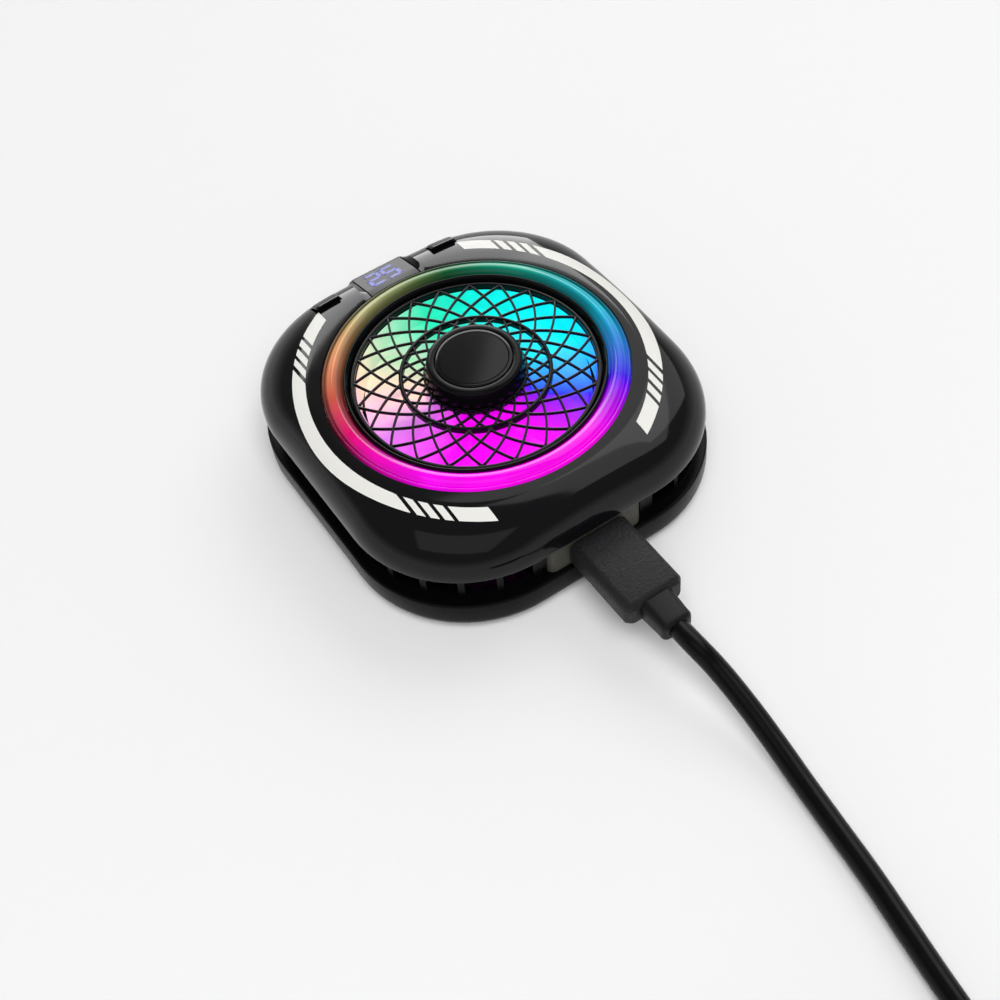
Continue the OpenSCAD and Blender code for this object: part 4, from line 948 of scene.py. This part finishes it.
groove_r, groove_w, groove_deep = 5.75, 0.22, 0.12
disc_profile = [(0, disc_low), (disc_r, disc_low)]
disc_profile += arc((disc_r - disc_soft, disc_top - disc_soft), disc_soft, 0, 90, 4)
disc_profile += [(groove_r + groove_w / 2, disc_top), (groove_r, disc_top - groove_deep),
                 (groove_r - groove_w / 2, disc_top), (0, disc_top)]
# Turned and painted plastic: rings of fine lines spread the light to a soft cone
turned_disc, turned_shader = new_finish("turned_satin_black_disc", Base_Color=linear("#0C0C0E"),
                                        Specular_IOR_Level=0.25)
turned_lines = add_node(turned_disc, "TexWave", {"Vector": object_place(turned_disc),
                                                 "Scale": 1 / (1.4 * mm), "Distortion": 0.4,
                                                 "Detail": 1.0},
                        wave_type="RINGS", rings_direction="Z")
roughen(turned_disc, turned_shader, turned_lines, (0.06, 0.09), 0.0003, span=(0, 1))
dress(turned("hub_face", disc_profile, 128), "cooler", turned_disc, "satin_black", "hub_disc")

# %% [markdown]
# The fan is one milky moulding: a cup over the motor and nine wide blades that nearly close the
# disc when seen from above. A blade is a flat grid mapped to its real form: it twists, steep at
# the hub and flatter at the tip, grows wider outwards and leans along its turn. Solidify gives
# it a wall. The other eight are copies, each turned in its own mesh.

# %% Fan
fan_hub_r, fan_hub_low, fan_top, cup_wall, shaft_hole = 9.0, 8.8, 16.7, 0.8, 1.0
blade_n, blade_in, blade_out, blade_mid, blade_t = 9, 8.7, 19.0, 13.7, 0.7
pitch_in, pitch_out = radians(21), radians(7)
chord_in, chord_out = 11.0, 19.0
blade_lean = radians(12)
cup_soft, cup_roof, blade_bow, blade_soft = 0.8, 1.2, 0.5, 0.25

fan_profile = [(fan_hub_r - cup_wall, fan_hub_low), (fan_hub_r, fan_hub_low)]
fan_profile += arc((fan_hub_r - cup_soft, fan_top - cup_soft), cup_soft, 0, 90, 6)
fan_profile += [(shaft_hole, fan_top), (shaft_hole, fan_top - cup_roof),
                (fan_hub_r - cup_wall, fan_top - cup_roof)]
fan_parts = [turned("fan_hub", fan_profile, 96)]

begin()
bpy.ops.mesh.primitive_grid_add(x_subdivisions=14, y_subdivisions=12, size=1)
blade = bpy.context.active_object
for vert in blade.data.vertices:
    outward, along = vert.co.x + 0.5, vert.co.y
    r = blade_in + outward * (blade_out - blade_in)
    pitch = pitch_in + outward * (pitch_out - pitch_in)
    chord = (chord_in + outward * (chord_out - chord_in)) * along
    turn = blade_lean * outward ** 2 + chord * cos(pitch) / r
    height = blade_mid + chord * sin(pitch) + blade_bow * (1 - 4 * along ** 2)
    vert.co = Vector((r * cos(turn), r * sin(turn), height)) * mm
apply_modifier(blade, "SOLIDIFY", thickness=blade_t * mm, offset=0)
apply_modifier(blade, "BEVEL", width=blade_soft * mm, segments=2, limit_method="ANGLE",
               angle_limit=radians(50))
fan_parts += [copy_of(blade, Matrix.Rotation(2 * pi * i / blade_n, 4, "Z")) for i in range(1, blade_n)]
fan_parts.append(blade)
# The fan's glow is painted light: the lamps' light in its milky blades, painted on as emission
dress(joined("lit_fan", fan_parts), "fan", milky_painted_glow, "impeller", "impeller", angle=40)

# %% [markdown]
# The lamps stand just outside the duct, and its wall under the grille lets their light in. A
# thin milky sleeve lines it, and its glow is painted light: it stands for that light coming
# through the wall, so that the colours reach right up to the bezel.

# %% Duct sleeve with painted glow
sleeve_wall, sleeve_lap, sleeve_foot, sleeve_head, sleeve_soft = 0.25, 0.05, 0.2, 0.1, 0.1
painted_glow_sleeve = soft_ring("painted_glow_sleeve", duct_r - sleeve_wall, duct_r + sleeve_lap, duct_z + sleeve_foot,
                       seat_z - sleeve_head, sleeve_soft)
dress(painted_glow_sleeve, "cooler", milky_painted_glow, "satin_black", angle=40)

# %% [markdown]
# The base is a shallow tray with a rounded foot, a thin step beyond the band above it, and a
# soft upper edge. It is pulled through rows like the cover, from the round opening in its floor
# outwards, up, over the edge and back inside. Counterbores for the four screws and a ring
# groove for the magnets are then cut into its underside.

# %% Base
base_step, base_low, base_top, base_round, floor_top = 0.3, 0.6, 6.5, 2.4, 3.4
plate_hole_r, base_soft = 21.65, 0.4


def round_row(r, z):
    return [(r * x / hypot(x, y), r * y / hypot(x, y), z) for x, y in outline()]


base_rows = [round_row(plate_hole_r, base_low)]
base_rows += [flat_row(base_round - base_step - s, base_low + base_round - c)
              for c, s in arc((0, 0), base_round, 0, 90, 8)]
base_rows += [flat_row(base_soft - base_step - c, base_top - base_soft + s)
              for c, s in arc((0, 0), base_soft, 0, 90, 4)]
base_rows += [flat_row(wall, base_top), flat_row(wall, floor_top), round_row(plate_hole_r, floor_top)]
base_rows.append(base_rows[0])
base_tray = pulled("base_tray", base_rows, fill=False)

screw_x, screw_y, screw_head_r, screw_deep = 21.5, 23.0, 1.95, 2.4
for sx, sy in quarters:
    begin()
    bpy.ops.mesh.primitive_cylinder_add(vertices=40, radius=screw_head_r * mm, depth=2 * screw_deep * mm,
                                        location=(sx * screw_x * mm, sy * screw_y * mm, 0))
    cut(base_tray, bpy.context.active_object)
magnet_in, magnet_out, magnet_deep = 22.9, 27.6, 2.6
cut(base_tray, turned("magnet_cutter", [(magnet_in, 0), (magnet_out, 0), (magnet_out, magnet_deep),
                                        (magnet_in, magnet_deep)], 128))
dress(base_tray, "cooler", base_abs, "satin_black", "base_shell")

# %% [markdown]
# Under the base a soft silicone ring rests on the surface to be cooled. It is a flat moulding
# with rounded edges and two shallow grooves, so its profile is drawn and spun.

# %% Contact ring
pad_in, pad_out, pad_t, pad_soft = 21.6, 28.8, 0.6, 0.2
pad_grooves, groove_foot, groove_head, groove_h = (24.2, 26.2), 0.45, 0.3, 0.12
pad_profile = [(pad_in, pad_t), (pad_in, pad_soft)]
pad_profile += arc((pad_in + pad_soft, pad_soft), pad_soft, 180, 270, 4)
for mid in pad_grooves:
    pad_profile += [(mid - groove_foot, 0), (mid - groove_head, groove_h),
                    (mid + groove_head, groove_h), (mid + groove_foot, 0)]
pad_profile += arc((pad_out - pad_soft, pad_soft), pad_soft, 270, 360, 4) + [(pad_out, pad_t)]
dress(turned("silicone_ring", pad_profile), "cooler", silicone, "silicone", "contact_pad")

# %% [markdown]
# The socket sits behind a dull grey plate between the two rows of vents. The plate is a block
# with rounded upright edges and a slot with round ends, cut by a pulled solid of that shape.
# The plug is a box of soft moulding with rounded edges and a chamfered collar at its back, where
# a narrower sleeve guides the cable out. Both are pulled through rows of a rounded rectangle.

# %% Rounded rectangles
def rounded(w, h, r, steps=6):
    points = []
    for q, (sx, sz) in enumerate(quarters):
        mid = (sx * (w / 2 - r), sz * (h / 2 - r))
        points += arc(mid, r, 90 * q, 90 * q + 90, steps)
    return points


def bar_rows(w, h, r, stations):
    rows = []
    for along, inset in stations:
        shape = rounded(w - 2 * inset, h - 2 * inset, max(0.1, r - inset))
        rows.append([(x, -along, port_z + z) for x, z in shape])
    return rows


print("points round a bar:", len(rounded(2, 1, 0.2)))

# %% Socket plate
plate_w, plate_out, plate_in, plate_low, plate_top = 18, 33.4, 31.5, 6.5, 12.5
slot_w, slot_h, slot_from, slot_to, plate_round = 9.14, 3.4, 30, 35, 1.4
socket_plate = block("socket_plate", (-plate_w / 2, -plate_out, plate_low),
                     (plate_w / 2, -plate_in, plate_top))
begin()
bpy.context.view_layer.objects.active = socket_plate
bpy.ops.object.mode_set(mode="EDIT")
bpy.ops.mesh.select_mode(type="EDGE")
bpy.ops.mesh.select_all(action="DESELECT")
mesh = bmesh.from_edit_mesh(socket_plate.data)
for edge in mesh.edges:
    a, b = edge.verts
    edge.select_set(abs(a.co.z - b.co.z) > mm and a.co.y < -(plate_out + plate_in) / 2 * mm)
bmesh.update_edit_mesh(socket_plate.data)
bpy.ops.mesh.bevel(offset=plate_round * mm, segments=6)
bpy.ops.mesh.select_mode(type="VERT")
bpy.ops.object.mode_set(mode="OBJECT")
slot_rows = bar_rows(slot_w, slot_h, slot_h / 2, ((slot_from, 0), (slot_to, 0)))
cut(socket_plate, pulled("slot_cutter", slot_rows))
dress(socket_plate, "cooler", port_nylon, "port_grey", "port_surround")

# %% Near plug
plug_w, plug_h, plug_r, plug_front, plug_back = 10.8, 5.1, 1.5, 33.55, 49.0
relief_w, relief_h, relief_r = 6.0, 4.5, 1.4
front_soft, collar = 0.5, ((1.1, 0), (0.9, 0.08), (0.25, 0.6), (0, 0.9))
front_stations = [(plug_front + front_soft * (1 - s), front_soft * (1 - c))
                  for c, s in arc((0, 0), 1, 90, 0, 4)]
collar_stations = [(plug_back - before, inset) for before, inset in collar]
plug_body = pulled("plug_body", bar_rows(plug_w, plug_h, plug_r, front_stations + collar_stations))
dress(plug_body, "lead", plug_tpe, "overmould", "plug_housing")
sleeve_end, sleeve_turn, sleeve_taper, sleeve_round = -plug_back_y, 1.6, 0.25, 0.9
sleeve_stations = [(plug_back, 0), (sleeve_end - sleeve_turn, sleeve_taper)]
sleeve_stations += [(sleeve_end - sleeve_round * (1 - s), sleeve_taper + sleeve_round * (1 - c))
                    for c, s in arc((0, 0), 1, 0, 80, 4)]
plug_sleeve = pulled("plug_sleeve", bar_rows(relief_w, relief_h, relief_r, sleeve_stations))
dress(plug_sleeve, "lead", relief_tpe, "overmould", "plug_relief")

# %% [markdown]
# The far end of the lead is a flat rectangular supply plug. Its housing and ribbed sleeve are
# modelled along the X axis at the origin and then carried to the end of the cable. Its metal
# shell is a folded sheet with two catch windows on each broad side, so its wall is pulled round
# the open end and back inside, and the windows are cut. A strap holds the coil together.

# %% Far plug
far_place = Matrix.Translation(Vector(far_at) * mm) @ Matrix.Rotation(far_turn, 4, "Z")
guide_d, guide_l, guide_ribs, rib_start, rib_pitch, rib_growth = 6.0, 8.0, 4, 0.8, 1.7, 0.2
guide_nose = ((0, 4.4), (0.4, 4.8))
guide_rib = ((0, 4.9), (0.3, 5.3), (1.1, 5.35), (1.4, 4.95))
disc_points = 36
house_w, house_h, house_r, house_l = 15.4, 7.6, 1.8, 20.0


def far_piece(name, sections, fill=True):
    piece = pulled(name, [[(along, y, z) for y, z in shape] for along, shape in sections], fill)
    piece.data.transform(far_place)
    return piece


def disc_shape(d):
    turns = [2 * pi * i / disc_points for i in range(disc_points)]
    return [(d / 2 * cos(turn), d / 2 * sin(turn)) for turn in turns]


def house_shape(inset):
    return rounded(house_w - 2 * inset, house_h - 2 * inset, house_r - 0.8 * inset)


guide = list(guide_nose)
for i in range(guide_ribs):
    guide += [(rib_start + rib_pitch * i + along, d + rib_growth * i) for along, d in guide_rib]
guide.append((guide_l, guide_d))
far_sleeve = far_piece("far_sleeve", [(along, disc_shape(d)) for along, d in guide])
dress(far_sleeve, "lead", relief_tpe, "overmould", "usb_a_relief")
# The end at the sleeve is rounded twice as much as the one at the shell
soft = [(1 - s, 1 - c) for c, s in arc((0, 0), 1, 90, 0, 4)]
house = [(guide_l + along, house_shape(inset)) for along, inset in soft]
house += [(guide_l + house_l - along / 2, house_shape(inset / 2)) for along, inset in reversed(soft)]
far_plug_body = far_piece("far_plug_body", house)
dress(far_plug_body, "lead", plug_tpe, "overmould", "usb_a_housing")

# %% Far plug's shell
shell_w, shell_h, shell_t, shell_r, shell_edge = 12.0, 4.5, 0.35, 0.7, 0.1
shell_back, shell_end = guide_l + house_l - 1, guide_l + house_l + 11.8
shell_stations = [(shell_back, 0), (shell_end - shell_edge, 0), (shell_end, shell_edge),
                  (shell_end, shell_t - shell_edge), (shell_end - shell_edge, shell_t),
                  (shell_back, shell_t), (shell_back, 0)]


def shell_shape(inset):
    return rounded(shell_w - 2 * inset, shell_h - 2 * inset, shell_r - inset)


shell_sections = [(along, shell_shape(inset)) for along, inset in shell_stations]
far_plug_shell = far_piece("far_plug_shell", shell_sections, fill=False)
window_from, window_to, window_in, window_out = shell_end - 6.2, shell_end - 3.9, 1.5, 3.9
for side in (-1, 1):
    across = sorted((side * window_in, side * window_out))
    opening = block("catch_window", (window_from, across[0], -shell_h), (window_to, across[1], shell_h))
    opening.data.transform(far_place)
    cut(far_plug_shell, opening)
dress(far_plug_shell, "lead", nickel, "nickel", "usb_a_shell")

# %% Coil strap
strap_w, strap_t, strap_turn = 5.0, 0.6, radians(-130)
strap_r0, strap_r1, strap_z1, strap_round = 10.06, 29.7, 9.4, 2.4
strap_mid = ((strap_r0 + strap_r1) / 2, strap_z1 / 2)


def strap_row(inset, along):
    shape = rounded(strap_r1 - strap_r0 - 2 * inset, strap_z1 - 2 * inset, strap_round - inset, 8)
    return [(strap_mid[0] + x, along, strap_mid[1] + z) for x, z in shape]


strap_rows = [strap_row(strap_t, -strap_w / 2), strap_row(0, -strap_w / 2), strap_row(0, strap_w / 2),
              strap_row(strap_t, strap_w / 2)]
coil_strap = pulled("coil_strap", strap_rows + strap_rows[:1], fill=False)
coil_strap.data.transform(Matrix.Translation(Vector((*coil_centre, 0)) * mm)
                          @ Matrix.Rotation(strap_turn, 4, "Z"))
dress(coil_strap, "lead", strap_loop, "tie", "cable_tie")

# %% [markdown]
# The lead is now complete, so the pieces that travel with it are gathered in one list.

node_objects = {name: bpy.data.objects[name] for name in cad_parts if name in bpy.data.objects}
lead_pieces = [plug_body, plug_sleeve, coil_strap, far_plug_shell, far_sleeve, far_plug_body]
lead_pieces += [node_objects[name] for name in ("plug_shell", "usb_a_tongue")]
print("cord pieces:", len(lead_pieces))

# %% [markdown]
# The rest keeps the shape of its solid: the vents, the heatsink, the boards, the motor and the
# small fasteners are already what they are on the real object. Each gets the finish of what it
# is made of.

# %% Finishes of the carried-over solids
# Thermoelectric pellets: dull grey metal cubes with a cut face
pellet_metal = worked_metal("bismuth_telluride", "#8A8B90", (0.4, 0.55), 0.5, 1, 0.006)
finish_of = {
    base_abs: ("vent_frame",),
    anodised: ("cold_plate",),
    grey_anodised: ("heatsink",),
    nickel: ("ring_magnets", "usb_socket", "plug_shell"),
    ground_steel: ("fan_shaft", "rotor_cup", "case_screws", "stator_core"),
    bonded_ferrite: ("rotor_magnet",),
    enamelled_copper: ("stator_coils",),
    sintered_bronze: ("bearing_bush",),
    solder_mask: ("fan_board", "control_board", "main_board"),
    white_mask: ("led_board",),
    led_epoxy: ("led_chips",),
    inner_nylon: ("motor_base", "display_module", "tact_switches", "usb_tongue", "thermistor"),
    natural_nylon: ("shaft_clip", "power_plunger", "mode_plunger", "usb_a_tongue"),
    alumina: ("peltier_cold_ceramic", "peltier_hot_ceramic"),
    pellet_metal: ("peltier_pellets",),
    thermal_gel: ("cold_side_pad", "hot_side_pad"),
    closed_foam: ("foam_gasket",),
    wire_coats["red"]: ("peltier_leads",),
    wire_coats["yellow"]: ("fan_leads",),
    wire_coats["grey"]: ("display_leads",),
}
for finish, names in finish_of.items():
    for name in names:
        for slot in node_objects[name].material_slots:
            slot.material = finish
print("solids dressed:", sum(len(names) for names in finish_of.values()))

# %% [markdown]
# The studio is plain: a pale floor, a soft key lamp above and behind the camera, and a world that
# is pale at the horizon and dim above. Gloss black shows what stands round it, so the other
# panels are placed for what the cover mirrors: its far half shows the panel behind the object,
# its right half the two panels at the right, and its near half the dim space overhead. The panels
# that are there for their reflection alone throw no light on the floor.

# %% Floor
pale_level = 0.95
floor_size, fade_from, fade_to = 3, 0.25, 0.8
begin()
bpy.ops.mesh.primitive_plane_add(size=floor_size)
floor_sheet = bpy.context.active_object
floor_sheet.name = "floor_sheet"
# Uncoated paper: an even, soft white
floor_paper, floor_shader = new_finish("matt_white_paper", Base_Color=linear("#F4F4F4"), Roughness=0.9)
floor_spot = object_place(floor_paper)
fibre = add_node(floor_paper, "TexNoise", {"Vector": floor_spot, "Scale": 1 / (0.6 * mm)})
fibre_bump = add_node(floor_paper, "Bump", {"Height": fibre.outputs["Fac"], "Distance": 0.01 * mm})
link(floor_paper, fibre_bump.outputs["Normal"], floor_shader, "Normal")
# Far from the object the lamps fade, so the sheet takes on an even pale glow towards its edges
away = add_node(floor_paper, "VectorMath", {0: floor_spot}, operation="LENGTH")
fade = add_node(floor_paper, "MapRange", {"Value": away.outputs["Value"], "From Min": fade_from,
                                          "From Max": fade_to}, interpolation_type="SMOOTHSTEP")
even_glow = add_node(floor_paper, "Emission", {"Strength": pale_level})
sheet = add_node(floor_paper, "MixShader", {0: fade.outputs["Result"], 1: floor_shader.outputs["BSDF"],
                                            2: even_glow.outputs["Emission"]})
link(floor_paper, sheet.outputs["Shader"], floor_paper.node_tree.nodes["Material Output"], "Surface")
floor_sheet.data.materials.append(floor_paper)
print("floor sheet:", floor_size, "m across")

# %% Lights
def panel(name, at, size, power):
    lamp = bpy.data.lights.new(name, "AREA")
    lamp.shape = "RECTANGLE"
    lamp.size, lamp.size_y = size
    lamp.energy = power
    made = bpy.data.objects.new(name, lamp)
    bpy.context.collection.objects.link(made)
    made.location = at
    made.rotation_euler = (-Vector(at)).to_track_quat("-Z", "Y").to_euler()
    return made


def towards(azimuth, elevation, distance):
    a, e = radians(azimuth), radians(elevation)
    return (distance * sin(a) * cos(e), distance * cos(a) * cos(e), distance * sin(e))


# Name, azimuth and elevation in degrees with the distance in metres, size in metres, power in watts
panel_plan = (("back_panel", (23, 25.5, 1.0), (0.54, 0.71), 7.4),
              ("high_right_panel", (82, 60, 1.0), (0.85, 0.5), 1.93),
              ("ceiling_panel", (228, 64, 1.0), (0.75, 0.6), 0.8),
              ("right_panel", (62, 45, 1.0), (0.83, 0.61), 2.3),
              ("key_panel", (200, 62, 1.8), (1.15, 1.15), 22))
panels = {name: panel(name, towards(*way), size, power) for name, way, size, power in panel_plan}
for name in ("back_panel", "high_right_panel"):
    panels[name].visible_diffuse = False
panels["key_panel"].visible_glossy = False
print("panels:", len(panels))

# %% World
horizon_z, high_z, high_level = 0.1, 0.45, 0.22
world = bpy.data.worlds.new("studio")
bpy.context.scene.world = world
world.use_nodes = True
background = world.node_tree.nodes["Background"]
direction = add_node(world, "TexCoord").outputs["Generated"]
height = add_node(world, "SeparateXYZ", {"Vector": direction}).outputs["Z"]
sky = add_node(world, "MapRange", {"Value": height, "From Min": horizon_z, "From Max": high_z,
                                   "To Min": pale_level, "To Max": high_level})
world.node_tree.links.new(sky.outputs["Result"], background.inputs["Strength"])
background.inputs["Color"].default_value = linear("#FFFFFF")
print("world: pale at the horizon, dim above")

# %% Update the view layer
bpy.context.view_layer.update()
